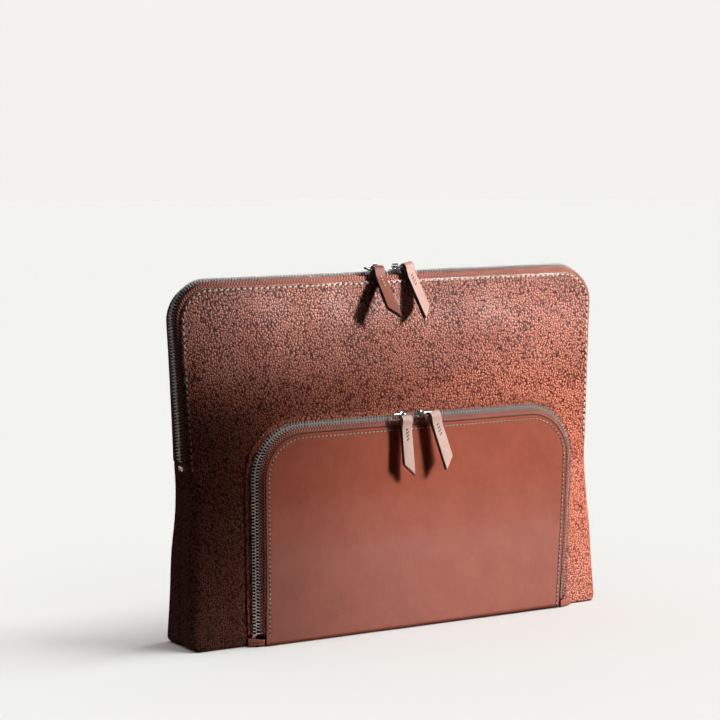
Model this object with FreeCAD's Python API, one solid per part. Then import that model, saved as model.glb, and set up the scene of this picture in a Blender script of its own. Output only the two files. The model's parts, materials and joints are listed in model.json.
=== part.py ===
import FreeCAD, Part
import math
import os

# Zipped leather laptop sleeve with a zipped pocket on its front.
# Millimetres. X runs along the width, Y from front (-) to back (+), Z up.
# The origin is in the middle of the base, on the surface the sleeve stands on.

V = FreeCAD.Vector
os.makedirs("parts", exist_ok=True)

# ---- driving dimensions: the sleeve -------------------------------------
PANEL_TOP = 257.0
CORNER_R = 24.0
FOOT_R = 5.0
# half width of the panels at a few heights, narrowest at the waist
WIDTHS = [(6.0, 176.5), (105.0, 171.0), (203.0, 175.0), (233.0, 176.0)]
# half depth of the body at a few heights: it tapers from the base to the zip
DEPTHS = [(2.0, 23.0), (60.0, 17.5), (128.0, 13.0), (200.0, 11.0), (257.0, 9.7)]
BASE_R = 2.0
BASE_HALF_DEPTH = 15.0
LEATHER = 1.6
FOAM = 2.0
LINING = 0.5
GAP = 0.05
FOLD_Z = 131.0          # the back bends here when the sleeve is opened
SLOT_Z = 126.0          # bottom of the slot that the zip ends sit in
PLAY = 0.2

# ---- driving dimensions: zips ---------------------------------------------
TOOTH_PITCH = 2.33
TOOTH_LONG = 1.15       # along the chain
TOOTH_WIDE = 2.3        # across the chain
TOOTH_THICK = 1.6
TOOTH_GAP = 0.6         # from the chain's middle to each row, so the divider passes
TAPE = 0.7
CHAIN_START_Z = 133.5
# how far the main chain stands out past the panels' edge, by height
PROUD = [(133.0, 1.2), (178.0, 1.3), (213.0, 1.8), (241.0, 3.4), (257.0, 5.5)]
STITCH_PITCH = 3.3
STITCH = (2.4, 0.7, 0.45)   # long, wide, high
STITCH_INSET = 2.0

# ---- driving dimensions: the pocket ---------------------------------------
POCKET_TOP = 149.8
POCKET_FOOT = 2.1
POCKET_LEFT = (-117.0, -121.0)      # x of the panel's left edge at the shoulder and at the foot
POCKET_RIGHT = (145.5, 134.5)       # the same for the right edge
POCKET_SHOULDER_Z = 117.0
POCKET_R = 32.0
POCKET_DEPTHS = [(2.0, 30.5), (60.0, 28.2), (100.0, 25.5), (152.0, 22.5)]
POCKET_WALL = 12.0                  # sideways from the panel's edge to the seam on the body
POCKET_CHAIN_Z = 7.5
POCKET_STITCH_INSET = 2.8
STRIP_THICK = 1.8

# ---- driving dimensions: sliders, rings and pulls ---------------------------
PLATE = (9.8, 7.2, 0.8)             # long, wide, thick
PLATE_N = 1.0                       # from the chain's middle to a plate
PLATE_UNDER = 3.3                   # half width of the plate inside the bag
POST = (3.0, 0.8)
ARCH_LONG = 2.4
ARCH_R = 3.6
ARCH_HOLE_R = 2.4
PIVOT_N = 3.7                       # ring's bar above the chain's middle
WIRE_R = 0.9
RING_HALF = 6.2
RING_LONG = 9.5
RING_CORNER = 2.2
STRAP_WIDE = 8.8
STRAP_HALF_THICK = 1.35
LOOP_R = 3.4
LOOP_HOLE_R = 2.1
NECK = 8.0
STRAP_LONG = 41.0
STRAP_CUT = 8.5
PULL_STITCHES = 4
PULL_STITCH_PITCH = 2.3

# name: (slider x, ring shift, ring yaw, ring drop, strap swing out, strap lean, tip side)
MAIN_PULLS = {
    "main_left": (-11.0, -3.7, 0.0, 12.0, 36.0, 2.0, 1),
    "main_right": (6.3, 3.2, 10.0, 3.0, 24.0, 10.0, -1),
}
POCKET_PULLS = {
    "pocket_left": (0.7, -3.7, 0.0, 21.0, 8.0, 0.0, 1),
    "pocket_right": (17.8, 3.7, 0.0, 10.0, 12.0, 13.0, -1),
}

FAR = 400.0
nodes = {}


def table(rows, z):
    """Straight-line value of a (height, value) list at height z."""
    if z <= rows[0][0]:
        return rows[0][1]
    for (z0, v0), (z1, v1) in zip(rows, rows[1:]):
        if z <= z1:
            return v0 + (v1 - v0) * (z - z0) / (z1 - z0)
    return rows[-1][1]


def depth(z):
    return table(DEPTHS, z)


def pocket_depth(z):
    return table(POCKET_DEPTHS, z)


def proud(z):
    return table(PROUD, z)


def half_width(z):
    return table(WIDTHS, z)


# ---- small shape helpers ------------------------------------------------------
def frame(origin, x, y, z):
    """Placement that carries the local axes onto x, y and z at origin."""
    m = FreeCAD.Matrix(x.x, y.x, z.x, origin.x, x.y, y.y, z.y, origin.y,
                       x.z, y.z, z.z, origin.z, 0, 0, 0, 1)
    return FreeCAD.Placement(m)


def placed(shape, placement):
    """A copy of shape moved by placement."""
    copy = shape.copy()
    copy.Placement = placement.multiply(copy.Placement)
    return copy


def box(x0, x1, y0, y1, z0, z1):
    return Part.makeBox(x1 - x0, y1 - y0, z1 - z0, V(x0, y0, z0))


def polygon(points):
    return Part.makePolygon(list(points) + [points[0]])


def prism(points, direction):
    """Solid swept from a planar polygon."""
    return Part.Face(polygon(points)).extrude(direction)


def block(centre, along, across, out, size):
    """Box of the given size centred at a point, in the frame of three unit vectors."""
    a, b, c = size
    local = Part.makeBox(a, b, c, V(-a / 2, -b / 2, -c / 2))
    return placed(local, frame(centre, along, across, out))


def arc(p0, pm, p1):
    return Part.Arc(p0, pm, p1).toShape()


def line(p0, p1):
    return Part.LineSegment(p0, p1).toShape()


def fused(shapes):
    result = shapes[0].multiFuse(shapes[1:])
    return result.removeSplitter()


def strip(sections):
    """Closed solid with straight sides through a row of polygons."""
    wires = [polygon(section) for section in sections]
    return Part.makeLoft(wires, True, True)


# ---- outlines that zips, edges and stitches follow ------------------------------
class Outline:
    """Open path in the XZ plane, up the left side, over the top and down the right."""

    def __init__(self, pieces):
        self.pieces = pieces
        self.lengths = [self.piece_length(p) for p in pieces]
        self.length = sum(self.lengths)

    @staticmethod
    def piece_length(piece):
        if piece[0] == "line":
            (x0, z0), (x1, z1) = piece[1:]
            return math.hypot(x1 - x0, z1 - z0)
        radius, start, end = piece[2:]
        return radius * abs(end - start)

    def at(self, s):
        """Point and outward normal at length s, both in the XZ plane."""
        for piece, length in zip(self.pieces, self.lengths):
            if s <= length or piece is self.pieces[-1]:
                break
            s -= length
        if piece[0] == "line":
            (x0, z0), (x1, z1) = piece[1:]
            tx, tz = (x1 - x0) / length, (z1 - z0) / length
            return V(x0 + tx * s, 0, z0 + tz * s), V(-tz, 0, tx)
        (cx, cz), radius, start, end = piece[1:]
        a = start - s / radius
        out = V(math.cos(a), 0, math.sin(a))
        return V(cx, 0, cz) + out * radius, out

    def stations(self, arc_steps=12):
        """Lengths at which a straight-sided strip changes direction."""
        result = [0.0]
        total = 0.0
        for piece, length in zip(self.pieces, self.lengths):
            steps = arc_steps if piece[0] == "arc" else 1
            result += [total + length * (i + 1) / steps for i in range(steps)]
            total += length
        return result

    def evenly(self, curve, pitch, start=0.0, end=None):
        """Lengths whose points on curve(s) are one pitch apart."""
        end = self.length if end is None else end
        step = 0.25
        found = [start]
        walked = 0.0
        s = start
        last = curve(s)
        while s + step < end:
            s += step
            point = curve(s)
            walked += (point - last).Length
            last = point
            if walked >= pitch:
                found.append(s)
                walked -= pitch
        return found


def sleeve_edge():
    """Edge of the panels around the main zip."""
    low = (half_width(CHAIN_START_Z), CHAIN_START_Z)
    mid = (WIDTHS[2][1], WIDTHS[2][0])
    high = (WIDTHS[3][1], WIDTHS[3][0])
    centre = high[0] - CORNER_R
    quarter = math.pi / 2
    return Outline([
        ("line", (-low[0], low[1]), (-mid[0], mid[1])),
        ("line", (-mid[0], mid[1]), (-high[0], high[1])),
        ("arc", (-centre, high[1]), CORNER_R, math.pi, quarter),
        ("line", (-centre, PANEL_TOP), (centre, PANEL_TOP)),
        ("arc", (centre, high[1]), CORNER_R, quarter, 0.0),
        ("line", high, mid),
        ("line", mid, low),
    ])


def pocket_edge(foot_z, grow=0.0):
    """Edge of the pocket's panel, or a line that far outside it."""
    run = POCKET_SHOULDER_Z - POCKET_FOOT
    left_lean = math.atan2(POCKET_LEFT[0] - POCKET_LEFT[1], run)
    right_lean = math.atan2(POCKET_RIGHT[0] - POCKET_RIGHT[1], run)
    radius = POCKET_R + grow
    top = POCKET_TOP - POCKET_R
    left_x = POCKET_LEFT[0] + POCKET_R
    right_x = POCKET_RIGHT[0] - POCKET_R
    left_a = math.pi - left_lean
    right_a = -right_lean
    left = (left_x + radius * math.cos(left_a), top + radius * math.sin(left_a))
    right = (right_x + radius * math.cos(right_a), top + radius * math.sin(right_a))
    left_foot = (left[0] - (left[1] - foot_z) * math.tan(left_lean), foot_z)
    right_foot = (right[0] - (right[1] - foot_z) * math.tan(right_lean), foot_z)
    return Outline([
        ("line", left_foot, left),
        ("arc", (left_x, top), radius, left_a, math.pi / 2),
        ("line", (left_x, top + radius), (right_x, top + radius)),
        ("arc", (right_x, top), radius, math.pi / 2, right_a),
        ("line", right, right_foot),
    ])


def outline_solid(outline, y0, y1):
    """Everything inside an outline between two Y planes."""
    edges = []
    s = 0.0
    for piece, length in zip(outline.pieces, outline.lengths):
        p0, pm, p1 = (outline.at(s + length * f)[0] for f in (1e-9, 0.5, 1.0))
        if edges:
            p0 = edges[-1].lastVertex().Point
        edges.append(arc(p0, pm, p1) if piece[0] == "arc" else line(p0, p1))
        s += length
    edges.append(line(edges[-1].lastVertex().Point, edges[0].firstVertex().Point))
    face = Part.Face(Part.Wire(edges))
    face.translate(V(0, y0, 0))
    return face.extrude(V(0, y1 - y0, 0))


# ---- layers of the body ---------------------------------------------------------
def side_shape(inset, top=PANEL_TOP):
    """Inside of the body's side view, that far in from the leather's outside."""
    front = [V(-FAR, -(depth(z) - inset), z) for z, _ in DEPTHS]
    radius = max(BASE_R - inset, 0.3)
    foot = V(-FAR, -(DEPTHS[0][1] - inset - radius), inset)
    heel = V(-FAR, front[0].y, inset + radius)
    front = [p for p in front if p.z > heel.z]
    side = [foot, heel] + front[:-1] + [V(-FAR, front[-1].y, top)]
    back = [V(p.x, -p.y, p.z) for p in reversed(side)]
    return prism(side + back, V(2 * FAR, 0, 0))


def front_shape(inset):
    """Inside of the body's front view, that far in from the leather's edge."""
    half = [(w - inset, z) for z, w in WIDTHS]
    radius = max(FOOT_R - inset, 1.0)
    c = 1 - math.sqrt(0.5)
    top_r = CORNER_R - inset
    centre = WIDTHS[3][1] - CORNER_R
    high = WIDTHS[3][0]
    foot = half[0][0]
    edges = []
    for side in (1, -1):
        pts = [V(side * (foot - radius), 0, inset),
               V(side * (foot - radius * c), 0, inset + radius * c),
               V(side * foot, 0, inset + radius)]
        pts += [V(side * x, 0, z) for x, z in half[1:]]
        pts += [V(side * (centre + top_r * math.sqrt(0.5)), 0, high + top_r * math.sqrt(0.5)),
                V(side * centre, 0, high + top_r)]
        edges.append(arc(pts[0], pts[1], pts[2]))
        edges += [line(a, b) for a, b in zip(pts[2:-3], pts[3:-2])]
        edges.append(arc(pts[-3], pts[-2], pts[-1]))
    edges.append(line(V(-(foot - radius), 0, inset), V(foot - radius, 0, inset)))
    edges.append(line(V(-centre, 0, high + top_r), V(centre, 0, high + top_r)))
    wire = Part.Wire(Part.__sortEdges__(edges))
    face = Part.Face(wire)
    face.translate(V(0, -FAR, 0))
    return face.extrude(V(0, 2 * FAR, 0))


def body_shape(inset):
    return side_shape(inset).common(front_shape(inset))


def layer(outer, inner, edge=0.0):
    """A skin of the body between two insets, open at the top and beside the main zip."""
    solid = body_shape(outer)
    if edge:
        solid = solid.common(front_shape(edge))
    hollow = body_shape(inner)
    above = side_shape(inner, PANEL_TOP + 1).common(box(-FAR, FAR, -FAR, FAR, SLOT_Z, FAR))
    return solid.cut(hollow).cut(above)


def front_half(shape, gap=0.0):
    return shape.common(box(-FAR, FAR, -FAR, -gap, -1, FAR))


def back_half(shape, gap=0.0):
    return shape.common(box(-FAR, FAR, gap, FAR, -1, FAR))


def above_fold(shape):
    return shape.common(box(-FAR, FAR, -FAR, FAR, FOLD_Z + PLAY, FAR))


def below_fold(shape):
    return shape.common(box(-FAR, FAR, -FAR, FAR, -1, FOLD_Z))


def leather_shell():
    shell = layer(0.0, LEATHER)
    base = box(-168, 168, -BASE_HALF_DEPTH, BASE_HALF_DEPTH, 0, LEATHER)
    opening = box(-168 - GAP, 168 + GAP, -BASE_HALF_DEPTH - GAP, BASE_HALF_DEPTH + GAP, -1, LEATHER + 1)
    walls = shell.cut(opening)
    nodes["base_panel"] = base
    nodes["front_panel"] = front_half(walls)
    back = back_half(walls, GAP)
    nodes["back_panel_lower"] = below_fold(back)
    nodes["back_panel_upper"] = above_fold(back)


def padding():
    outer = LEATHER + GAP
    inner = outer + FOAM
    edge = 4.0
    slab = side_shape(outer).cut(side_shape(inner, PANEL_TOP + 1))
    slab = slab.common(front_shape(edge)).common(box(-FAR, FAR, -FAR, FAR, 5.5, 250))
    nodes["front_foam"] = front_half(slab, 5)
    back = back_half(slab, 5)
    nodes["back_foam_lower"] = below_fold(back)
    nodes["back_foam_upper"] = above_fold(back)
    nodes["base_foam"] = box(-166, 166, -17, 17, outer, inner)


def lining():
    outer = LEATHER + FOAM + 3 * GAP
    skin = layer(outer, outer + LINING, outer + 0.4)
    nodes["front_lining"] = front_half(skin)
    back = back_half(skin, GAP)
    nodes["back_lining_lower"] = below_fold(back)
    nodes["back_lining_upper"] = above_fold(back)


# ---- zips -------------------------------------------------------------------------
def main_chain(edge, s):
    """Middle of the main chain at length s along the panels' edge."""
    point, out = edge.at(s)
    return point + out * proud(point.z)


def main_teeth(edge, side, phase):
    """One row of the main zip's teeth: side -1 is the front row, 1 the back row."""
    def curve(s):
        return main_chain(edge, s)

    teeth = []
    middle = side * (TOOTH_GAP + TOOTH_WIDE / 2)
    for s in edge.evenly(curve, TOOTH_PITCH, start=phase, end=edge.length - TOOTH_LONG):
        out = edge.at(s)[1]
        along = V(out.z, 0, -out.x)
        centre = curve(s) + V(0, middle, 0)
        teeth.append(block(centre, along, V(0, 1, 0), out, (TOOTH_LONG, TOOTH_WIDE, TOOTH_THICK)))
    return Part.makeCompound(teeth)


def main_tape(edge, side):
    """Cloth tape from inside a panel's edge up to the outer ends of its teeth."""
    tooth_end = TOOTH_GAP + TOOTH_WIDE + GAP
    half = TAPE / 2
    sections = []
    for s in edge.stations():
        point, out = edge.at(s)
        hold = depth(point.z) - LEATHER - 2 * GAP
        rise = proud(point.z)
        flat = tooth_end + 0.6
        shape = [(hold, -2.5), (hold, 0.2), (flat, rise + half), (tooth_end, rise + half),
                 (tooth_end, rise - half), (flat - 0.3, rise - half),
                 (hold - TAPE, -0.2), (hold - TAPE, -2.5)]
        sections.append([point + V(0, side * y, 0) + out * n for y, n in shape])
    return strip(sections)


def stitches(outline, inset, surface, side, start=0.0):
    """Row of thread stitches just inside an outline, lying on the surface y = side * surface(z)."""
    def curve(s):
        point, out = outline.at(s)
        return point - out * inset

    size_long, size_wide, size_high = STITCH
    lift = size_high / 2 + 0.1
    row = []
    for s in outline.evenly(curve, STITCH_PITCH, start=start + STITCH_PITCH / 2):
        out = outline.at(s)[1]
        along = V(out.z, 0, -out.x)
        spot = curve(s)
        centre = spot + V(0, side * (surface(spot.z) + lift), 0)
        row.append(block(centre, along, out, along.cross(out), (size_long, size_wide, size_high)))
    return Part.makeCompound(row)


def main_zip():
    edge = sleeve_edge()
    nodes["main_zip_front_teeth"] = main_teeth(edge, -1, 0.7)
    nodes["main_zip_back_teeth"] = main_teeth(edge, 1, 0.7 + TOOTH_PITCH / 2)
    nodes["main_zip_front_tape"] = main_tape(edge, -1)
    nodes["main_zip_back_tape"] = main_tape(edge, 1)
    nodes["front_panel_stitching"] = stitches(edge, STITCH_INSET, depth, -1)
    nodes["back_panel_stitching"] = stitches(edge, STITCH_INSET, depth, 1)
    ends = []
    bars = []
    for side in (-1, 1):
        x = side * (half_width(FOLD_Z) + 0.4)
        low, high = SLOT_Z + 1.0, FOLD_Z - 0.6
        ends.append(box(x - 1.2, x + 1.2, -2.9, 2.9, low, high))
        x = side * (half_width(SLOT_Z - 2) + 0.35)
        for z in (SLOT_Z - 2.4, SLOT_Z - 1.2):
            bars.append(box(x - 0.3, x + 0.3, -3.0, 3.0, z - 0.35, z + 0.35))
    nodes["main_zip_end_stops"] = Part.makeCompound(ends)
    nodes["main_zip_bar_tacks"] = Part.makeCompound(bars)


def wall_point(edge, s, share):
    """Point of the pocket's wall: share 0 is the seam on the body, 1 the panel's edge."""
    point, out = edge.at(s)
    seam = point + out * POCKET_WALL
    seam.z = max(seam.z, POCKET_CHAIN_Z - 2)
    seam.y = -depth(seam.z) - 0.15
    rim = V(point.x, -pocket_depth(point.z), point.z)
    return seam + (rim - seam) * share


def wall_frame(edge, s):
    """Directions along the chain, across it towards the panel, and out of the wall."""
    out = edge.at(s)[1]
    along = V(out.z, 0, -out.x)
    seam, rim = wall_point(edge, s, 0), wall_point(edge, s, 1)
    across = rim - seam
    across = across - along * across.dot(along)
    across.normalize()
    return along, across, across.cross(along)


def pocket_teeth(edge, side, phase):
    """One row of the pocket's teeth: side -1 is the row on the body, 1 the row on the flap."""
    def curve(s):
        return wall_point(edge, s, 0.5)

    teeth = []
    middle = side * (TOOTH_GAP + TOOTH_WIDE / 2)
    for s in edge.evenly(curve, TOOTH_PITCH, start=phase, end=edge.length - TOOTH_LONG):
        along, across, out = wall_frame(edge, s)
        centre = curve(s) + across * middle
        teeth.append(block(centre, along, across * -1, out, (TOOTH_LONG, TOOTH_WIDE, TOOTH_THICK)))
    return Part.makeCompound(teeth)


def pocket_tape(edge, side):
    """Cloth tape between a row of teeth and the body or the panel."""
    tooth_end = TOOTH_GAP + TOOTH_WIDE + 3 * GAP
    half = TAPE / 2
    sections = []
    for s in edge.stations():
        along, across, out = wall_frame(edge, s)
        middle = wall_point(edge, s, 0.5)
        far = (wall_point(edge, s, 1) - middle).dot(across) - 1.2
        sections.append([middle + across * side * a + out * n
                         for a, n in ((tooth_end, half), (far, half), (far, -half), (tooth_end, -half))])
    return strip(sections)


def pocket_skin(outline, outer, inner):
    """Sheet behind the pocket's bulged front between two insets, inside an outline."""
    rows = [z for z, _ in POCKET_DEPTHS]
    front = [V(-FAR, -pocket_depth(z) + outer, z) for z in rows]
    rear = [V(-FAR, -pocket_depth(z) + inner, z) for z in reversed(rows)]
    return prism(front + rear, V(2 * FAR, 0, 0)).common(outline_solid(outline, -FAR, FAR))


def pocket():
    edge = pocket_edge(POCKET_FOOT)
    chain = pocket_edge(POCKET_CHAIN_Z)
    nodes["pocket_panel"] = pocket_skin(edge, 0, LEATHER)
    inside = pocket_edge(POCKET_FOOT + 2, -2.5)
    nodes["pocket_panel_lining"] = pocket_skin(inside, LEATHER + GAP, LEATHER + GAP + LINING)
    nodes["pocket_zip_outer_teeth"] = pocket_teeth(chain, -1, 0.7)
    nodes["pocket_zip_inner_teeth"] = pocket_teeth(chain, 1, 0.7 + TOOTH_PITCH / 2)
    nodes["pocket_zip_outer_tape"] = pocket_tape(chain, -1)
    nodes["pocket_zip_inner_tape"] = pocket_tape(chain, 1)
    nodes["pocket_panel_stitching"] = stitches(edge, POCKET_STITCH_INSET, pocket_depth, -1, start=4)
    backing = side_shape(-GAP - LINING).cut(side_shape(-GAP, PANEL_TOP + 1))
    nodes["pocket_back_lining"] = front_half(
        backing.common(outline_solid(pocket_edge(8.0, POCKET_WALL - 5), -FAR, 0)), 5)
    left = wall_point(chain, 0, 0.5)
    right = wall_point(chain, chain.length, 0.5)
    nodes["pocket_base_strip"] = box(left.x - 1, right.x + 1,
                                     -DEPTHS[0][1] - 7.5, -DEPTHS[0][1] - 0.1, 0, STRIP_THICK)
    tabs = []
    stops = []
    for s in (0.0, chain.length):
        along, across, out = wall_frame(chain, s)
        centre = wall_point(chain, s, 0.5)
        down = V(0, 0, -1)
        stops.append(block(centre + down * 0.7 + across * -1.9, along, across * -1, out, (1.2, 2.4, 1.7)))
        seam, rim = wall_point(chain, s, 0.3), wall_point(chain, s, 0.92)
        back = out * -1.4
        foot = [V(p.x, p.y, STRIP_THICK + 0.3) for p in (seam, rim, rim + back, seam + back)]
        head = [V(p.x, p.y, POCKET_CHAIN_Z - 2.4) for p in (seam, rim, rim + back, seam + back)]
        tabs.append(strip([foot, head]))
    nodes["pocket_zip_end_stops"] = Part.makeCompound(stops)
    nodes["pocket_zip_end_tabs"] = Part.makeCompound(tabs)


# ---- sliders, rings and pulls -------------------------------------------------------
def rounded_plate(length, w0, w1, n0, n1):
    plate = box(-length / 2, length / 2, w0, w1, n0, n1)
    uprights = [e for e in plate.Edges if abs(e.tangentAt(e.FirstParameter).z) > 0.9]
    return plate.makeFillet(1.2, uprights)


def slider_body(open_side):
    """Slider in the chain's frame: X along, Y across towards the row that can leave, Z out."""
    long, wide, thick = PLATE
    top = rounded_plate(long, -wide / 2, wide / 2, PLATE_N, PLATE_N + thick)
    if open_side:
        bottom = box(-long / 2, long / 2, -PLATE_UNDER, POST[1] / 2, -PLATE_N - thick, -PLATE_N)
    else:
        bottom = rounded_plate(long, -PLATE_UNDER, PLATE_UNDER, -PLATE_N - thick, -PLATE_N)
    post = box(-POST[0] / 2, POST[0] / 2, -POST[1] / 2, POST[1] / 2, -PLATE_N - 0.1, PLATE_N + 0.1)
    foot = PLATE_N + thick - 0.1
    spring = 2.4                    # height at which the arch's round top starts
    along = V(ARCH_LONG, 0, 0)

    def arch_shape(radius, base):
        start = V(-ARCH_LONG / 2, 0, 0)
        low_l, low_r = start + V(0, -radius, base), start + V(0, radius, base)
        mid_l, mid_r = start + V(0, -radius, spring), start + V(0, radius, spring)
        wire = Part.Wire([line(low_r, mid_r), arc(mid_r, start + V(0, 0, spring + radius), mid_l),
                          line(mid_l, low_l), line(low_l, low_r)])
        return Part.Face(wire).extrude(along)

    arch = arch_shape(ARCH_R, foot).cut(arch_shape(ARCH_HOLE_R, foot + 0.15))
    return fused([top, bottom, post, arch])


def ring_shape():
    """Wire ring in its own plane: bar on the X axis, far bar at Z = -RING_LONG."""
    r = RING_CORNER
    w = RING_HALF
    k = r * (1 - math.sqrt(0.5))
    pts = [V(-w + r, 0, 0), V(w - r, 0, 0), V(w - k, 0, -k), V(w, 0, -r),
           V(w, 0, -RING_LONG + r), V(w - k, 0, -RING_LONG + k), V(w - r, 0, -RING_LONG),
           V(-w + r, 0, -RING_LONG), V(-w + k, 0, -RING_LONG + k), V(-w, 0, -RING_LONG + r),
           V(-w, 0, -r), V(-w + k, 0, -k)]
    path = Part.Wire([line(pts[0], pts[1]), arc(pts[1], pts[2], pts[3]), line(pts[3], pts[4]),
                      arc(pts[4], pts[5], pts[6]), line(pts[6], pts[7]), arc(pts[7], pts[8], pts[9]),
                      line(pts[9], pts[10]), arc(pts[10], pts[11], pts[0])])
    circle = Part.Wire(Part.makeCircle(WIRE_R, pts[0], V(1, 0, 0)))
    return path.makePipeShell([circle], True, False)


def strap_shape(tip_side):
    """Folded strap hanging down -Z from its loop round the X axis; its front faces -Y."""
    t = STRAP_HALF_THICK
    half = STRAP_WIDE / 2
    loop = Part.makeCylinder(LOOP_R, STRAP_WIDE, V(-half, 0, 0), V(1, 0, 0))
    side = LOOP_R * 0.95
    rise = -LOOP_R * 0.31
    neck = prism([V(-half, -side, rise), V(-half, -t, -NECK), V(-half, -t, -STRAP_LONG),
                  V(-half, t, -STRAP_LONG), V(-half, t, -NECK), V(-half, side, rise)], V(STRAP_WIDE, 0, 0))
    strap = fused([loop, neck])
    hole = Part.makeCylinder(LOOP_HOLE_R, STRAP_WIDE + 2, V(-half - 1, 0, 0), V(1, 0, 0))
    tip = tip_side * half
    heel = -tip_side * half
    below = -STRAP_LONG - 20
    corner = prism([V(tip * 1.5, -9, -STRAP_LONG - STRAP_CUT / 4),
                    V(heel * 1.5, -9, -STRAP_LONG + STRAP_CUT * 1.25),
                    V(heel * 1.5, -9, below), V(tip * 1.5, -9, below)], V(0, 18, 0))
    return strap.cut(hole).cut(corner)


def strap_stitches():
    """Short stitches that close the loop, on both faces."""
    row = []
    for i in range(PULL_STITCHES):
        z = -NECK - 1.6 - i * PULL_STITCH_PITCH
        for side in (-1, 1):
            y = side * (STRAP_HALF_THICK + 0.2)
            row.append(box(-0.35, 0.35, y - 0.15, y + 0.15, z - 0.7, z + 0.7))
    return Part.makeCompound(row)


pivots = {}


def slider_set(name, chain_middle, across, out, pull):
    """Slider, ring and pull at one place on a chain; across points to the row that can leave."""
    x, shift, yaw, drop, swing, lean, tip_side = pull
    along = V(1, 0, 0)
    origin = V(x, chain_middle.y, chain_middle.z)
    slider = slider_body(name.startswith("pocket"))
    nodes[name + "_slider"] = placed(slider, frame(origin, along, across, out))

    yaw, drop, swing, lean = (math.radians(a) for a in (yaw, drop, swing, lean))
    pivot = origin + out * PIVOT_N
    bar = V(math.cos(yaw), math.sin(yaw), 0)
    ahead = V(math.sin(yaw), -math.cos(yaw), 0)
    ring_down = ahead * math.cos(drop) + V(0, 0, -math.sin(drop))
    ring_up = ring_down * -1
    ring_centre = pivot + bar * shift
    nodes[name + "_ring"] = placed(ring_shape(), frame(ring_centre, bar, ring_up.cross(bar), ring_up))

    far_bar = ring_centre + ring_down * RING_LONG
    hang = ahead * math.sin(swing) + V(0, 0, -math.cos(swing))
    down = hang * math.cos(lean) + bar * math.sin(lean)
    wide = bar * math.cos(lean) - hang * math.sin(lean)
    up = down * -1
    where = frame(far_bar, wide, up.cross(wide), up)
    nodes[name + "_pull"] = placed(strap_shape(tip_side), where)
    nodes[name + "_pull_stitching"] = placed(strap_stitches(), where)
    pivots[name] = {"bar": bar, "ring": pivot, "pull": far_bar}


def sliders():
    middle = V(0, 0, PANEL_TOP + proud(PANEL_TOP))
    for name, pull in MAIN_PULLS.items():
        slider_set(name, middle, V(0, 1, 0), V(0, 0, 1), pull)
    chain = pocket_edge(POCKET_CHAIN_Z)
    s = chain.lengths[0] + chain.lengths[1] + chain.lengths[2] / 2
    along, across, out = wall_frame(chain, s)
    middle = wall_point(chain, s, 0.5)
    for name, pull in POCKET_PULLS.items():
        slider_set(name, middle, across * -1, out, pull)
    pivots["pocket_chain"] = middle


leather_shell()
padding()
lining()
main_zip()
pocket()
sliders()

if __name__ == "__main__":
    for name, shape in nodes.items():
        shape.exportStep("parts/" + name + ".step")
        size = shape.BoundBox
        print(f"{name:26s} solids {len(shape.Solids):4d} valid {shape.isValid()}")
        print(f"    x {size.XMin:.1f} {size.XMax:.1f}  y {size.YMin:.1f} {size.YMax:.1f}"
              f"  z {size.ZMin:.1f} {size.ZMax:.1f}")
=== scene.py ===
import bmesh
import bpy
import math
import random
import numpy as np
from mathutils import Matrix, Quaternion, Vector
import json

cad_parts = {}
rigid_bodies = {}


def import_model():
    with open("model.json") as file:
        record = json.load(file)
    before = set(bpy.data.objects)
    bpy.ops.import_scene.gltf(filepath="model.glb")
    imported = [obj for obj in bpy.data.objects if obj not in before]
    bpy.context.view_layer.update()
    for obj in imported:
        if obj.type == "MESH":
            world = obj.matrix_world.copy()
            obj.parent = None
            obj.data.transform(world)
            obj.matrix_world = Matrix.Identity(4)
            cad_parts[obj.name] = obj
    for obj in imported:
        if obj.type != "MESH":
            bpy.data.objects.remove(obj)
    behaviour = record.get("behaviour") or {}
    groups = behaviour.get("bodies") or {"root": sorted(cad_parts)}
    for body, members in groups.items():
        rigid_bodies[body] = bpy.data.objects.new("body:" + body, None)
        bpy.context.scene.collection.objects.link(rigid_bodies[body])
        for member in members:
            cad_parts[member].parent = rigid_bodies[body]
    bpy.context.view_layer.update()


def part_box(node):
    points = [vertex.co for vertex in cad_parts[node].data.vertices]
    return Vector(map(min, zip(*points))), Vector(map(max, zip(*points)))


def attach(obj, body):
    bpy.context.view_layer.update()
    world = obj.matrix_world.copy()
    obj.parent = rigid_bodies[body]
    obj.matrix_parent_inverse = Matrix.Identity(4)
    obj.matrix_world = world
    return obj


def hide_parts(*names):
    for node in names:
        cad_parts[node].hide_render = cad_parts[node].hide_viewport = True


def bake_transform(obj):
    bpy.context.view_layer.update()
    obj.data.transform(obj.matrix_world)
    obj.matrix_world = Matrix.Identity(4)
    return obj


# Looks of a zipped leather laptop sleeve, built round its CAD frame.
# Shapes are worked out in millimetres in the CAD's own axes and scaled to metres.

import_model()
MM = 0.001
X_AXIS, Y_AXIS, Z_AXIS = np.eye(3)
rng = random.Random(7)


def cad_box(node):
    lo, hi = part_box(node)
    return np.array(lo) / MM, np.array(hi) / MM


# ---- dimensions read from the CAD frame ---------------------------------------
FRONT_LO, FRONT_HI = cad_box("front_panel")
POCKET_LO, POCKET_HI = cad_box("pocket_panel")
BASE_LO, BASE_HI = cad_box("base_panel")
PANEL_TOP = FRONT_HI[2]
FOOT_HALF = FRONT_HI[0]
BODY_HALF_DEPTH = -FRONT_LO[1]
BASE_SEAM = BASE_HI[1]
POCKET_TOP = POCKET_HI[2]
POCKET_FOOT = POCKET_LO[2]

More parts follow.
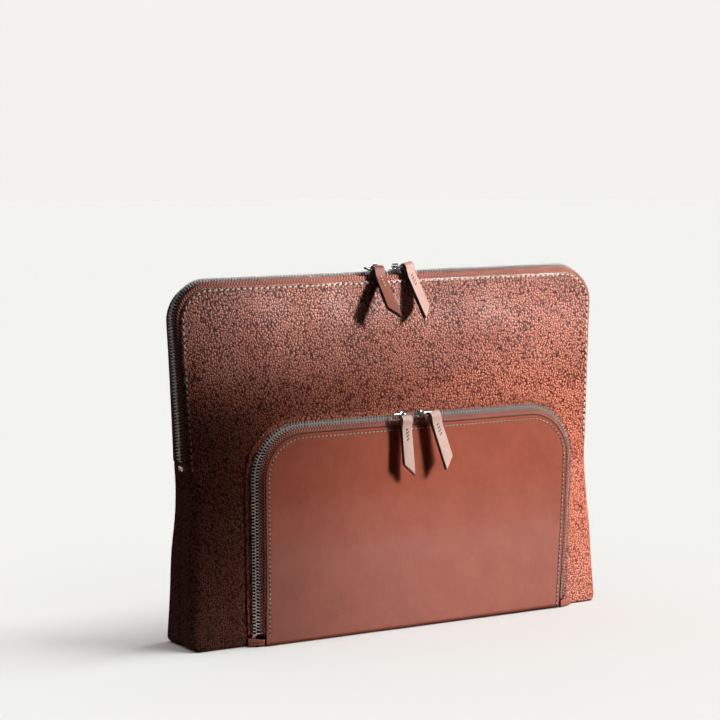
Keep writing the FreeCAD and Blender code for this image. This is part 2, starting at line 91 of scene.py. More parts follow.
# ---- dimensions shared with the CAD source --------------------------------------
CORNER_R = 24.0
FOOT_R = 5.0
LEATHER = 1.6
PAD_INSET = 4.6       # foam stops this far inside the panel's edge
WIDTHS = [(6.0, FOOT_HALF - 2.0), (105.0, 171.0), (203.0, 175.0), (233.0, 176.0)]
CORNER_Z, CORNER_HALF = WIDTHS[3]
DEPTHS = [(2.0, BODY_HALF_DEPTH), (60.0, 17.5), (128.0, 13.0), (200.0, 11.0), (PANEL_TOP, 9.7)]
POCKET_DEPTHS = [(POCKET_FOOT, -POCKET_LO[1]), (60.0, 28.2), (100.0, 25.5), (152.0, 22.5)]
PROUD = [(133.0, 1.2), (178.0, 1.3), (213.0, 1.8), (241.0, 3.4), (PANEL_TOP, 5.5)]
FOLD_Z = 131.0
SLOT_Z = 126.0
CHAIN_START_Z = 133.5
TOOTH_PITCH = 2.33
TOOTH_GAP = 0.6
TOOTH_WIDE = 2.3
STITCH_PITCH = 3.3
STITCH_INSET = 2.0
POCKET_LEFT = (-117.0, -121.0)
POCKET_RIGHT = (145.5, 134.5)
POCKET_SHOULDER_Z = 117.0
POCKET_R = 32.0
POCKET_WALL = 12.0
POCKET_CHAIN_Z = 7.5
POCKET_STITCH_INSET = 2.8
PIVOT_N = 3.7
WIRE_R = 0.9
RING_HALF = 6.2
RING_LONG = 9.5
RING_CORNER = 2.2
STRAP_WIDE = 8.8
STRAP_HALF_THICK = 1.6
LOOP_R = 3.4
LOOP_HOLE_R = 2.1
NECK = 8.0
STRAP_LONG = 41.0
STRAP_CUT = 8.5
# name: (slider x, ring shift, ring yaw, ring drop, strap swing out, strap lean, tip side)
MAIN_PULLS = {
    "main_left": (-11.0, -3.7, 0.0, 12.0, 36.0, 2.0, 1),
    "main_right": (6.3, 3.2, 10.0, 3.0, 24.0, 10.0, -1),
}
POCKET_PULLS = {
    "pocket_left": (0.7, -3.7, 0.0, 21.0, 8.0, 0.0, 1),
    "pocket_right": (17.8, 3.7, 0.0, 10.0, 12.0, 13.0, -1),
}


def smooth(rows):
    """Function of height that runs smoothly through a list of (height, value)."""
    zs = np.array([r[0] for r in rows])
    vs = np.array([r[1] for r in rows])
    step = np.diff(vs) / np.diff(zs)
    slope = np.concatenate([[step[0]], (step[:-1] + step[1:]) / 2, [step[-1]]])

    def value(z):
        z = np.clip(np.asarray(z, float), zs[0], zs[-1])
        i = np.clip(np.searchsorted(zs, z, side="right") - 1, 0, len(zs) - 2)
        h = zs[i + 1] - zs[i]
        t = (z - zs[i]) / h
        return ((2 * t**3 - 3 * t**2 + 1) * vs[i] + (t**3 - 2 * t**2 + t) * h * slope[i]
                + (3 * t**2 - 2 * t**3) * vs[i + 1] + (t**3 - t**2) * h * slope[i + 1])

    return value


plain_width = smooth(WIDTHS)


def half_width(z):
    """Half the body's width; it holds its foot's width for a while before drawing in."""
    return plain_width(z) + 1.6 * np.exp(-((np.asarray(z, float) - 62.0) / 26.0) ** 2)



depth = smooth(DEPTHS)
pocket_depth = smooth(POCKET_DEPTHS)
proud = smooth(PROUD)


def ease(t):
    t = np.clip(t, 0.0, 1.0)
    return t * t * (3 - 2 * t)


def ripple(x, z, seed, scale):
    """Smooth bumps between about -1 and 1, for soft leather."""
    r = random.Random(seed)
    total = 0.0
    for i in range(7):
        a = r.uniform(0, math.tau)
        k = math.tau / scale * r.uniform(0.6, 1.8)
        total = total + np.sin((x * math.cos(a) + z * math.sin(a)) * k + r.uniform(0, math.tau))
    return total / 4.0


# ---- mesh helpers ------------------------------------------------------------------
class Builder:
    """Collects points, faces and UVs of one mesh, in millimetres."""

    def __init__(self):
        self.points = []
        self.uvs = []
        self.faces = []
        self.marks = []
        self.count = 0

    def add(self, points, faces, uv=None, mark=0):
        points = np.asarray(points, float).reshape(-1, 3)
        if uv is None:
            uv = np.zeros((len(points), 2))
        self.points.append(points)
        self.uvs.append(np.asarray(uv, float).reshape(-1, 2))
        self.faces += [tuple(int(i) + self.count for i in f) for f in faces]
        self.marks += [mark] * len(faces)
        self.count += len(points)

    def grid(self, points, uv=None, wrap_u=False, wrap_v=False, mark=0, flip=False):
        """points[i][j] as quads; wrap_u closes the first index, wrap_v the second."""
        n, m = points.shape[:2]
        faces = []
        for i in range(n if wrap_u else n - 1):
            for j in range(m if wrap_v else m - 1):
                a, b = i * m + j, i * m + (j + 1) % m
                c, d = ((i + 1) % n) * m + (j + 1) % m, ((i + 1) % n) * m + j
                faces.append((a, d, c, b) if flip else (a, b, c, d))
        self.add(points, faces, uv, mark)

    def obj(self, name, materials, weld=None):
        mesh = bpy.data.meshes.new(name)
        points = np.concatenate(self.points) * MM
        mesh.from_pydata(points.tolist(), [], self.faces)
        uv = np.concatenate(self.uvs) * MM
        layer = mesh.uv_layers.new(name="UVMap")
        corner = np.zeros(len(mesh.loops), np.int32)
        mesh.loops.foreach_get("vertex_index", corner)
        layer.data.foreach_set("uv", uv[corner].astype(np.float32).ravel())
        for m in materials:
            mesh.materials.append(m)
        mesh.polygons.foreach_set("material_index", np.array(self.marks, np.int32))
        mesh.polygons.foreach_set("use_smooth", np.ones(len(mesh.polygons), bool))
        mesh.update()
        if weld:
            bm = bmesh.new()
            bm.from_mesh(mesh)
            bmesh.ops.remove_doubles(bm, verts=bm.verts, dist=weld * MM)
            bmesh.ops.dissolve_degenerate(bm, edges=bm.edges, dist=1e-7)
            bm.to_mesh(mesh)
            bm.free()
        ob = bpy.data.objects.new(name, mesh)
        bpy.context.scene.collection.objects.link(ob)
        return ob


def thicken(ob, thickness, offset=-1.0):
    mod = ob.modifiers.new("thickness", "SOLIDIFY")
    mod.thickness = thickness * MM
    mod.offset = offset
    return ob


def placed(points, origin, x, y, z):
    """Points in a local frame, moved to where its origin and axes are."""
    return origin + points[:, :1] * x + points[:, 1:2] * y + points[:, 2:3] * z


def stamp(builder, template, faces, origin, along, across, out, uv=None, mark=0):
    """Copies a small local shape to one place."""
    builder.add(placed(template, origin, along, across, out), faces, uv, mark)


def flipped(faces):
    return [tuple(reversed(f)) for f in faces]


def tube(rings, around, caps=True):
    """Faces of rings of points, each joined to the next, with both ends closed or open."""
    faces = []
    for i in range(rings - 1):
        for j in range(around):
            a, b = i * around + j, i * around + (j + 1) % around
            faces.append((a, b, b + around, a + around))
    if caps:
        faces += [tuple(reversed(range(around))), tuple(range((rings - 1) * around, rings * around))]
    return faces


def lengths_along(points):
    """Running length at each point of a line."""
    return np.concatenate([[0], np.cumsum(np.linalg.norm(np.diff(points, axis=0), axis=1))])


def side_by_side(points):
    """Upright unwrap: x across and z up."""
    return points[:, :, [0, 2]]


# ---- paths --------------------------------------------------------------------------
class Path:
    """Open path in the XZ plane, up the left side, over the top and down the right."""

    def __init__(self, pieces):
        self.pieces = pieces
        self.lengths = [self.size(p) for p in pieces]
        self.length = sum(self.lengths)

    @staticmethod
    def size(piece):
        if piece[0] == "line":
            (x0, z0), (x1, z1) = piece[1:]
            return math.hypot(x1 - x0, z1 - z0)
        return piece[2] * abs(piece[4] - piece[3])

    def at(self, s):
        """Point and outward direction at length s, as 3-D arrays with no depth."""
        for piece, length in zip(self.pieces, self.lengths):
            if s <= length or piece is self.pieces[-1]:
                break
            s -= length
        if piece[0] == "line":
            (x0, z0), (x1, z1) = piece[1:]
            tx, tz = (x1 - x0) / length, (z1 - z0) / length
            return np.array([x0 + tx * s, 0, z0 + tz * s]), np.array([-tz, 0, tx])
        (cx, cz), radius, start, _ = piece[1:]
        a = start - s / radius
        out = np.array([math.cos(a), 0, math.sin(a)])
        return np.array([cx, 0, cz]) + out * radius, out

    def evenly(self, curve, pitch, start=0.0, end=None):
        """Lengths whose points on curve(s) are one pitch apart."""
        end = self.length if end is None else end
        found, walked, s = [start], 0.0, start
        last = curve(s)
        while s + 0.25 < end:
            s += 0.25
            point = curve(s)
            walked += float(np.linalg.norm(point - last))
            last = point
            if walked >= pitch:
                found.append(s)
                walked -= pitch
        return found


def sleeve_edge():
    low = (float(half_width(CHAIN_START_Z)), CHAIN_START_Z)
    mid = (WIDTHS[2][1], WIDTHS[2][0])
    high = (WIDTHS[3][1], WIDTHS[3][0])
    centre = high[0] - CORNER_R
    quarter = math.pi / 2
    return Path([
        ("line", (-low[0], low[1]), (-mid[0], mid[1])),
        ("line", (-mid[0], mid[1]), (-high[0], high[1])),
        ("arc", (-centre, high[1]), CORNER_R, math.pi, quarter),
        ("line", (-centre, PANEL_TOP), (centre, PANEL_TOP)),
        ("arc", (centre, high[1]), CORNER_R, quarter, 0.0),
        ("line", high, mid),
        ("line", mid, low),
    ])


def pocket_edge(foot_z, grow=0.0):
    run = POCKET_SHOULDER_Z - POCKET_FOOT
    left_lean = math.atan2(POCKET_LEFT[0] - POCKET_LEFT[1], run)
    right_lean = math.atan2(POCKET_RIGHT[0] - POCKET_RIGHT[1], run)
    radius = POCKET_R + grow
    top = POCKET_TOP - POCKET_R
    left_x = POCKET_LEFT[0] + POCKET_R
    right_x = POCKET_RIGHT[0] - POCKET_R
    left_a = math.pi - left_lean
    right_a = -right_lean
    left = (left_x + radius * math.cos(left_a), top + radius * math.sin(left_a))
    right = (right_x + radius * math.cos(right_a), top + radius * math.sin(right_a))
    left_foot = (left[0] - (left[1] - foot_z) * math.tan(left_lean), foot_z)
    right_foot = (right[0] - (right[1] - foot_z) * math.tan(right_lean), foot_z)
    return Path([
        ("line", left_foot, left),
        ("arc", (left_x, top), radius, left_a, math.pi / 2),
        ("line", (left_x, top + radius), (right_x, top + radius)),
        ("arc", (right_x, top), radius, math.pi / 2, right_a),
        ("line", right, right_foot),
    ])


EDGE = sleeve_edge()
POCKET_EDGE = pocket_edge(POCKET_FOOT)
POCKET_CHAIN = pocket_edge(POCKET_CHAIN_Z)


def main_chain(s):
    point, out = EDGE.at(s)
    return point + out * float(proud(point[2]))


def wall_point(s, share):
    """Point of the pocket's wall: share 0 is the seam on the body, 1 the panel's edge."""
    point, out = POCKET_CHAIN.at(s)
    seam = point + out * POCKET_WALL
    seam[2] = max(seam[2], POCKET_CHAIN_Z - 2)
    seam[1] = -float(depth(seam[2])) - 0.15
    rim = np.array([point[0], -float(pocket_depth(point[2])), point[2]])
    return seam + (rim - seam) * share


def wall_frame(s):
    """Directions along the chain, across it towards the panel, and out of the wall."""
    out = POCKET_CHAIN.at(s)[1]
    along = np.array([out[2], 0, -out[0]])
    across = wall_point(s, 1) - wall_point(s, 0)
    across = across - along * (across @ along)
    across = across / np.linalg.norm(across)
    return along, across, np.cross(across, along)


# ---- materials ------------------------------------------------------------------------
class Nodes:
    """Small helper that wires shader nodes."""

    def __init__(self, name):
        self.material = bpy.data.materials.new(name)
        self.material.use_nodes = True
        self.tree = self.material.node_tree
        self.tree.nodes.clear()
        self.out = self.new("ShaderNodeOutputMaterial")
        self.bsdf = self.new("ShaderNodeBsdfPrincipled")
        self.link(self.bsdf.outputs[0], self.out.inputs[0])

    def new(self, kind, **values):
        node = self.tree.nodes.new(kind)
        for key, value in values.items():
            setattr(node, key, value)
        return node

    def link(self, a, b):
        self.tree.links.new(a, b)

    def plug(self, socket, value):
        if hasattr(value, "links"):
            self.link(value, socket)
        else:
            socket.default_value = value

    def uv(self, scale=(1, 1, 1)):
        node = self.new("ShaderNodeTexCoord")
        mapping = self.new("ShaderNodeMapping")
        mapping.inputs["Scale"].default_value = scale
        self.link(node.outputs["UV"], mapping.inputs["Vector"])
        return mapping.outputs[0]

    def height(self, tall):
        """0 at the floor to 1 at that height, for pieces unwrapped upright."""
        node = self.new("ShaderNodeTexCoord")
        split = self.new("ShaderNodeSeparateXYZ")
        self.link(node.outputs["UV"], split.inputs[0])
        return self.math("DIVIDE", split.outputs[1], tall, clamp=True)

    def place(self, scale=(1, 1, 1)):
        node = self.new("ShaderNodeTexCoord")
        mapping = self.new("ShaderNodeMapping")
        mapping.inputs["Scale"].default_value = scale
        self.link(node.outputs["Object"], mapping.inputs["Vector"])
        return mapping.outputs[0]

    def math(self, operation, a, b=0.0, c=0.0, clamp=False):
        node = self.new("ShaderNodeMath", operation=operation, use_clamp=clamp)
        for socket, value in zip(node.inputs, (a, b, c)):
            self.plug(socket, value)
        return node.outputs[0]

    def noise(self, vector, scale, detail=2.0, rough=0.5, distortion=0.0):
        node = self.new("ShaderNodeTexNoise")
        self.link(vector, node.inputs["Vector"])
        node.inputs["Scale"].default_value = scale
        node.inputs["Detail"].default_value = detail
        node.inputs["Roughness"].default_value = rough
        node.inputs["Distortion"].default_value = distortion
        return node

    def voronoi(self, vector, scale, feature="F1", smoothness=None):
        node = self.new("ShaderNodeTexVoronoi", feature=feature)
        self.link(vector, node.inputs["Vector"])
        node.inputs["Scale"].default_value = scale
        if smoothness is not None:
            node.inputs["Smoothness"].default_value = smoothness
        return node

    def ramp(self, value, stops, kind="EASE"):
        node = self.new("ShaderNodeValToRGB")
        node.color_ramp.interpolation = kind
        self.link(value, node.inputs[0])
        ramp = node.color_ramp
        while len(ramp.elements) < len(stops):
            ramp.elements.new(0.5)
        for element, (place, colour) in zip(ramp.elements, stops):
            element.position = place
            element.color = colour if len(colour) == 4 else (*colour, 1)
        return node.outputs[0]

    def spread(self, value, low, high, to_low=0.0, to_high=1.0):
        node = self.new("ShaderNodeMapRange")
        node.interpolation_type = "SMOOTHSTEP"
        self.link(value, node.inputs["Value"])
        node.inputs["From Min"].default_value = low
        node.inputs["From Max"].default_value = high
        node.inputs["To Min"].default_value = to_low
        node.inputs["To Max"].default_value = to_high
        return node.outputs["Result"]

    def mix(self, factor, a, b, mode="MIX"):
        node = self.new("ShaderNodeMix", data_type="RGBA", blend_type=mode)
        self.plug(node.inputs[0], factor)
        for socket, value in ((node.inputs[6], a), (node.inputs[7], b)):
            if hasattr(value, "links"):
                self.link(value, socket)
            else:
                socket.default_value = value if len(value) == 4 else (*value, 1)
        return node.outputs[2]

    def shift(self, vector, noise_colour, amount):
        """Vector pushed about by a noise's colour."""
        centre = self.new("ShaderNodeVectorMath", operation="SUBTRACT")
        self.link(noise_colour, centre.inputs[0])
        centre.inputs[1].default_value = (0.5, 0.5, 0.5)
        scaled = self.new("ShaderNodeVectorMath", operation="SCALE")
        self.link(centre.outputs[0], scaled.inputs[0])
        scaled.inputs["Scale"].default_value = amount
        total = self.new("ShaderNodeVectorMath", operation="ADD")
        self.link(vector, total.inputs[0])
        self.link(scaled.outputs[0], total.inputs[1])
        return total.outputs[0]

    def bump(self, height, distance, strength=1.0, normal=None):
        node = self.new("ShaderNodeBump")
        node.inputs["Strength"].default_value = strength
        node.inputs["Distance"].default_value = distance
        self.link(height, node.inputs["Height"])
        if normal is not None:
            self.link(normal, node.inputs["Normal"])
        self.link(node.outputs[0], self.bsdf.inputs["Normal"])
        return node.outputs[0]

    def set(self, **values):
        for key, value in values.items():
            self.plug(self.bsdf.inputs[key.replace("_", " ")], value)


def grained_leather():
    """Pebbled leather: raised cells parted by creases, with a sheen on their tops from the gloss settings; the colour
    also paints shade into the creases and a whitish highlight onto the tops, more strongly towards the top.
    """
    n = Nodes("grained_leather")
    uv = n.uv((1, 0.85, 1))
    drift = n.noise(uv, 60, 2)
    bent = n.shift(uv, drift.outputs["Color"], 0.005)
    wobble = n.noise(uv, 800, 2)
    bent = n.shift(bent, wobble.outputs["Color"], 0.0006)
    cells = n.voronoi(bent, 600, "DISTANCE_TO_EDGE")
    cells.inputs["Randomness"].default_value = 0.9
    centres = n.voronoi(bent, 600, "SMOOTH_F1", 0.4)
    centres.inputs["Randomness"].default_value = 0.9
    edges = n.spread(cells.outputs["Distance"], 0.0, 0.17)
    domes = n.spread(centres.outputs["Distance"], 0.1, 0.7, 1.0, 0.0)
    patches = n.noise(uv, 38, 3)
    amount = n.spread(patches.outputs["Fac"], 0.3, 0.7, 0.4, 0.75)
    height = n.math("MULTIPLY_ADD", edges, amount, n.math("MULTIPLY", domes, 0.55))
    grainy = n.noise(uv, 2400, 3, 0.6)
    height = n.math("MULTIPLY_ADD", grainy.outputs["Fac"], 0.10, height)
    n.bump(n.math("MULTIPLY", height, n.spread(n.height(0.257), 0.25, 0.7, 0.45, 1.0)), 0.00092, 1.0)
    tone = n.noise(uv, 15, 4, 0.55)
    base = n.ramp(tone.outputs["Fac"], [(0.3, (0.34, 0.090, 0.051)), (0.52, (0.40, 0.110, 0.063)),
                                     (0.75, (0.46, 0.136, 0.079))])
    # the colour's contrast grows towards the top, painting the stronger light there
    painted_contrast = n.spread(n.height(0.257), 0.45, 0.8, 1.0, 1.8)
    shading_height = n.math("MULTIPLY_ADD", n.math("SUBTRACT", height, 0.62), painted_contrast, 0.62)
    # painted shade darkens the creases and painted highlight lifts the cell tops to a whitish tone
    crease_shade_top_highlight = n.ramp(shading_height, [(0.0, (0.20, 0.11, 0.09)), (0.28, (0.48, 0.38, 0.35)), (0.58, (1.0, 0.97, 0.95)),
                                   (0.85, (1.32, 1.4, 1.44)), (1.0, (1.5, 1.6, 1.65))])
    n.set(Base_Color=n.mix(1.0, base, crease_shade_top_highlight, "MULTIPLY"))
    n.set(Roughness=n.spread(height, 0.15, 0.85, 0.66, 0.30))
    # glossier near the foot and round the opening than between
    polish = n.ramp(n.height(0.257), [(0.0, (0.8, 0.8, 0.8)), (0.25, (0.45, 0.45, 0.45)), (0.52, (0.2, 0.2, 0.2)),
                                      (0.68, (0.4, 0.4, 0.4)), (0.79, (0.75, 0.75, 0.75)), (0.93, (1.0, 1.0, 1.0))])
    n.set(Specular_IOR_Level=n.math("MULTIPLY", polish, n.spread(height, 0.1, 0.5, 0.35, 1.0)))
    coat = n.ramp(n.height(0.257), [(0.0, (0.35, 0.35, 0.35)), (0.2, (0.15, 0.15, 0.15)), (0.5, (0.0, 0.0, 0.0)),
                                    (0.68, (0.2, 0.2, 0.2)), (0.78, (0.6, 0.6, 0.6)), (0.9, (0.95, 0.95, 0.95))])
    n.set(Coat_Weight=n.math("MULTIPLY", coat, n.spread(height, 0.15, 0.6, 0.15, 1.0)))
    n.bsdf.inputs["Sheen Weight"].default_value = 0.03
    n.bsdf.inputs["Sheen Roughness"].default_value = 0.45
    n.bsdf.inputs["Sheen Tint"].default_value = (1.0, 0.78, 0.7, 1)
    n.bsdf.inputs["Coat Roughness"].default_value = 0.27
    n.bsdf.inputs["Coat IOR"].default_value = 1.75
    return n.material


def calf_leather(name, dark, light, pores=0.00012, roughness=0.5, polished_foot=False):
    """Smooth leather with a soft mottled colour, faint pores and fine wrinkles."""
    n = Nodes(name)
    uv = n.uv()
    tone = n.noise(uv, 40, 6, 0.62)
    grain = n.noise(uv, 1500, 4, 0.6)
    wrinkle = n.noise(n.uv((1, 0.35, 1)), 420, 3, 0.6, 0.6)
    cells = n.voronoi(n.shift(uv, tone.outputs["Color"], 0.002), 1150, "DISTANCE_TO_EDGE")
    tops = n.spread(cells.outputs["Distance"], 0.0, 0.25)
    height = n.math("MULTIPLY_ADD", grain.outputs["Fac"], 0.5, n.math("MULTIPLY", wrinkle.outputs["Fac"], 0.6))
    height = n.math("MULTIPLY_ADD", tops, 0.35, height)
    n.bump(height, pores, 1.0)
    base = n.ramp(tone.outputs["Fac"], [(0.3, dark), (0.7, light)])
    shade = n.ramp(height, [(0.35, (0.9, 0.9, 0.9)), (1.0, (1.06, 1.06, 1.06))])
    n.set(Base_Color=n.mix(1.0, base, shade, "MULTIPLY"))
    n.set(Roughness=n.spread(grain.outputs["Fac"], 0.3, 0.7, roughness - 0.06, roughness + 0.08))
    if polished_foot:
        polish = n.ramp(n.height(0.16), [(0.0, (0.9, 0.9, 0.9)), (0.33, (0.8, 0.8, 0.8)), (0.52, (0.35, 0.35, 0.35)),
                                         (0.7, (0.12, 0.12, 0.12)), (1.0, (0.10, 0.10, 0.10))])
        n.set(Specular_IOR_Level=polish)
    else:
        n.bsdf.inputs["Specular IOR Level"].default_value = 0.45
        n.bsdf.inputs["Coat Weight"].default_value = 0.05
        n.bsdf.inputs["Coat Roughness"].default_value = 0.35
    n.bsdf.inputs["Sheen Weight"].default_value = 0.02 if polished_foot else 0.08
    n.bsdf.inputs["Sheen Roughness"].default_value = 0.4
    return n.material


def edge_paint():
    n = Nodes("edge_paint")
    grain = n.noise(n.place(), 900, 3)
    n.bump(grain.outputs["Fac"], 0.0001, 0.8)
    n.set(Base_Color=n.ramp(grain.outputs["Fac"], [(0.3, (0.012, 0.008, 0.007)), (0.8, (0.035, 0.02, 0.016))]))
    n.bsdf.inputs["Roughness"].default_value = 0.42
    n.bsdf.inputs["Coat Weight"].default_value = 0.15
    return n.material


def zip_tape():
    """Woven tape: herringbone ribs in bands along the zip, with shade painted into the grooves and highlight onto the
    ribs.
    """
    n = Nodes("zip_tape")
    node = n.new("ShaderNodeTexCoord")
    split = n.new("ShaderNodeSeparateXYZ")
    n.link(node.outputs["UV"], split.inputs[0])
    u, v = split.outputs[0], split.outputs[1]
    band = n.math("PINGPONG", v, 0.0020)
    slant = n.math("ADD", u, band)
    wave = n.math("SINE", n.math("MULTIPLY", slant, math.tau / 0.0023))
    ply = n.math("SINE", n.math("MULTIPLY", n.math("SUBTRACT", u, band), math.tau / 0.0005))
    rib = n.math("MULTIPLY_ADD", wave, 0.5, 0.5)
    height = n.math("MULTIPLY_ADD", ply, 0.07, rib)
    fuzz = n.noise(n.uv(), 2200, 3, 0.7)
    height = n.math("MULTIPLY_ADD", fuzz.outputs["Fac"], 0.3, height)
    n.bump(height, 0.0005, 1.0)
    tone = n.noise(n.uv(), 70, 3)
    base = n.ramp(tone.outputs["Fac"], [(0.3, (0.46, 0.165, 0.120)), (0.7, (0.56, 0.215, 0.160))])
    # painted shade darkens the grooves between the ribs and painted highlight lifts the rib tops
    groove_shade_rib_highlight = n.ramp(height, [(0.2, (0.12, 0.08, 0.08)), (0.62, (0.55, 0.5, 0.5)), (0.95, (1.3, 1.3, 1.3))])
    n.set(Base_Color=n.mix(1.0, base, groove_shade_rib_highlight, "MULTIPLY"))
    n.bsdf.inputs["Roughness"].default_value = 0.85
    n.bsdf.inputs["Specular IOR Level"].default_value = 0.25
    n.bsdf.inputs["Sheen Weight"].default_value = 0.15
    n.bsdf.inputs["Sheen Roughness"].default_value = 0.5
    return n.material


def polished_metal(name, colour, roughness, scratch=0.00003):
    n = Nodes(name)
    place = n.place()
    wear = n.noise(place, 700, 4, 0.65)
    lines = n.noise(n.place((1, 0.2, 0.4)), 2400, 3, 0.7)
    n.bump(n.math("MULTIPLY_ADD", lines.outputs["Fac"], 0.5, wear.outputs["Fac"]), scratch, 0.8)
    n.set(Base_Color=n.ramp(wear.outputs["Fac"], [(0.3, tuple(c * 0.86 for c in colour)), (0.65, colour)]))
    n.set(Roughness=n.spread(wear.outputs["Fac"], 0.3, 0.75, roughness, roughness + 0.12))
    n.bsdf.inputs["Metallic"].default_value = 1.0
    return n.material


def thread(name, colour):
    n = Nodes(name)
    node = n.new("ShaderNodeTexCoord")
    split = n.new("ShaderNodeSeparateXYZ")
    n.link(node.outputs["UV"], split.inputs[0])
    slant = n.math("ADD", split.outputs[0], n.math("MULTIPLY", split.outputs[1], 1.4))
    twist = n.math("SINE", n.math("MULTIPLY", slant, math.tau / 0.0006))
    fuzz = n.noise(n.place(), 3000, 2)
    n.bump(n.math("MULTIPLY_ADD", fuzz.outputs["Fac"], 0.5, twist), 0.00006, 0.8)
    tone = n.noise(n.place(), 160, 2)
    base = n.ramp(tone.outputs["Fac"], [(0.3, tuple(c * 0.8 for c in colour)), (0.7, colour)])
    shade = n.ramp(n.math("MULTIPLY_ADD", twist, 0.5, 0.5), [(0.0, (0.72, 0.7, 0.68)), (0.6, (1, 1, 1))])
    n.set(Base_Color=n.mix(1.0, base, shade, "MULTIPLY"))
    n.bsdf.inputs["Roughness"].default_value = 0.6
    n.bsdf.inputs["Sheen Weight"].default_value = 0.15
    return n.material


def plain_weave(name, colour, pitch=0.0009):
    n = Nodes(name)
    node = n.new("ShaderNodeTexCoord")
    split = n.new("ShaderNodeSeparateXYZ")
    n.link(node.outputs["UV"], split.inputs[0])
    a = n.math("SINE", n.math("MULTIPLY", split.outputs[0], math.tau / pitch))
    b = n.math("SINE", n.math("MULTIPLY", split.outputs[1], math.tau / pitch))
    over = n.math("MULTIPLY_ADD", n.math("MULTIPLY", a, b), 0.5, 0.5)
    fuzz = n.noise(n.uv(), 2400, 3, 0.7)
    height = n.math("MULTIPLY_ADD", fuzz.outputs["Fac"], 0.5, over)
    n.bump(height, 0.0002, 0.8)
    tone = n.noise(n.uv(), 40, 4)
    base = n.ramp(tone.outputs["Fac"], [(0.3, tuple(c * 0.8 for c in colour)), (0.7, colour)])
    shade = n.ramp(height, [(0.2, (0.6, 0.6, 0.6)), (1.1, (1.1, 1.1, 1.1))])
    n.set(Base_Color=n.mix(1.0, base, shade, "MULTIPLY"))
    n.bsdf.inputs["Roughness"].default_value = 0.9
    n.bsdf.inputs["Sheen Weight"].default_value = 0.2
    return n.material


def foam_stuff():
    n = Nodes("foam")
    cells = n.voronoi(n.place(), 1400)
    n.bump(cells.outputs["Distance"], 0.0003, 0.9)
    # darker in the cells' pits: painted shade
    n.set(Base_Color=n.ramp(cells.outputs["Distance"], [(0.1, (0.12, 0.12, 0.125)), (0.6, (0.24, 0.24, 0.25))]))
    n.bsdf.inputs["Roughness"].default_value = 0.95
    return n.material


def painted_shade_material(name):
    """Near black brown that paints shade: for needle holes and for the cord in the shadow below the teeth."""
    n = Nodes(name)
    grain = n.noise(n.place(), 900, 2)
    n.set(Base_Color=n.ramp(grain.outputs["Fac"], [(0.3, (0.018, 0.008, 0.006)), (0.8, (0.05, 0.02, 0.014))]))
    n.bsdf.inputs["Roughness"].default_value = 0.9
    return n.material


GRAINED = grained_leather()
CALF = calf_leather("smooth_leather", (0.36, 0.086, 0.047), (0.41, 0.104, 0.060), polished_foot=True)
# one pull leather in three brightnesses that paint how each pull is lit: the pale copy paints light on the pocket
# pulls, the half-lit copy the main right pull's light, the shaded copy the main left pull's shade
PULL = calf_leather("pull_leather", (0.64, 0.41, 0.34), (0.77, 0.53, 0.46), 0.0001, 0.55)
PULL_HALF_LIT = calf_leather("pull_leather_half_lit", (0.42, 0.235, 0.19), (0.52, 0.32, 0.27), 0.0001, 0.55)
PULL_SHADED = calf_leather("pull_leather_shaded", (0.20, 0.056, 0.034), (0.26, 0.078, 0.048), 0.0001, 0.55)
PAINT = edge_paint()
TAPE = zip_tape()
TEETH = polished_metal("zip_metal", (0.78, 0.76, 0.74), 0.3, 0.00001)
CHROME = polished_metal("polished_nickel", (0.88, 0.87, 0.86), 0.05)
COPPERY = polished_metal("end_stop_metal", (0.78, 0.66, 0.60), 0.3)
THREAD = thread("waxed_thread", (0.90, 0.74, 0.60))
DARK_THREAD = thread("dark_thread", (0.20, 0.07, 0.045))
LINING = plain_weave("lining_cloth", (0.40, 0.29, 0.22))
FOAM = foam_stuff()
# painted shade for needle holes and for the cord under the teeth
HOLE_SHADE = painted_shade_material("needle_hole_shade")
CORD_SHADE = painted_shade_material("zip_cord_shade")


def done(ob, body, slot, *nodes):
    """Rides on a body and stands for CAD nodes; its slot argument is not used."""
    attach(ob, body)
    if nodes:
        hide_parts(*nodes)
    return ob


FOLD_START = (0, float(depth(FOLD_Z)) * MM, SLOT_Z * MM)
FOLD_END = (0, float(depth(FOLD_Z)) * MM, (FOLD_Z + 19) * MM)


def folds(ob, slot, *nodes):
    """Bakes its place into its mesh and hides the CAD nodes it stands for."""
    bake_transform(ob)
    if nodes:
        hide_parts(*nodes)
    return ob


# ---- leather skins of the body ----------------------------------------------------------
RING = 12.0          # the panel's border is built as rings this wide


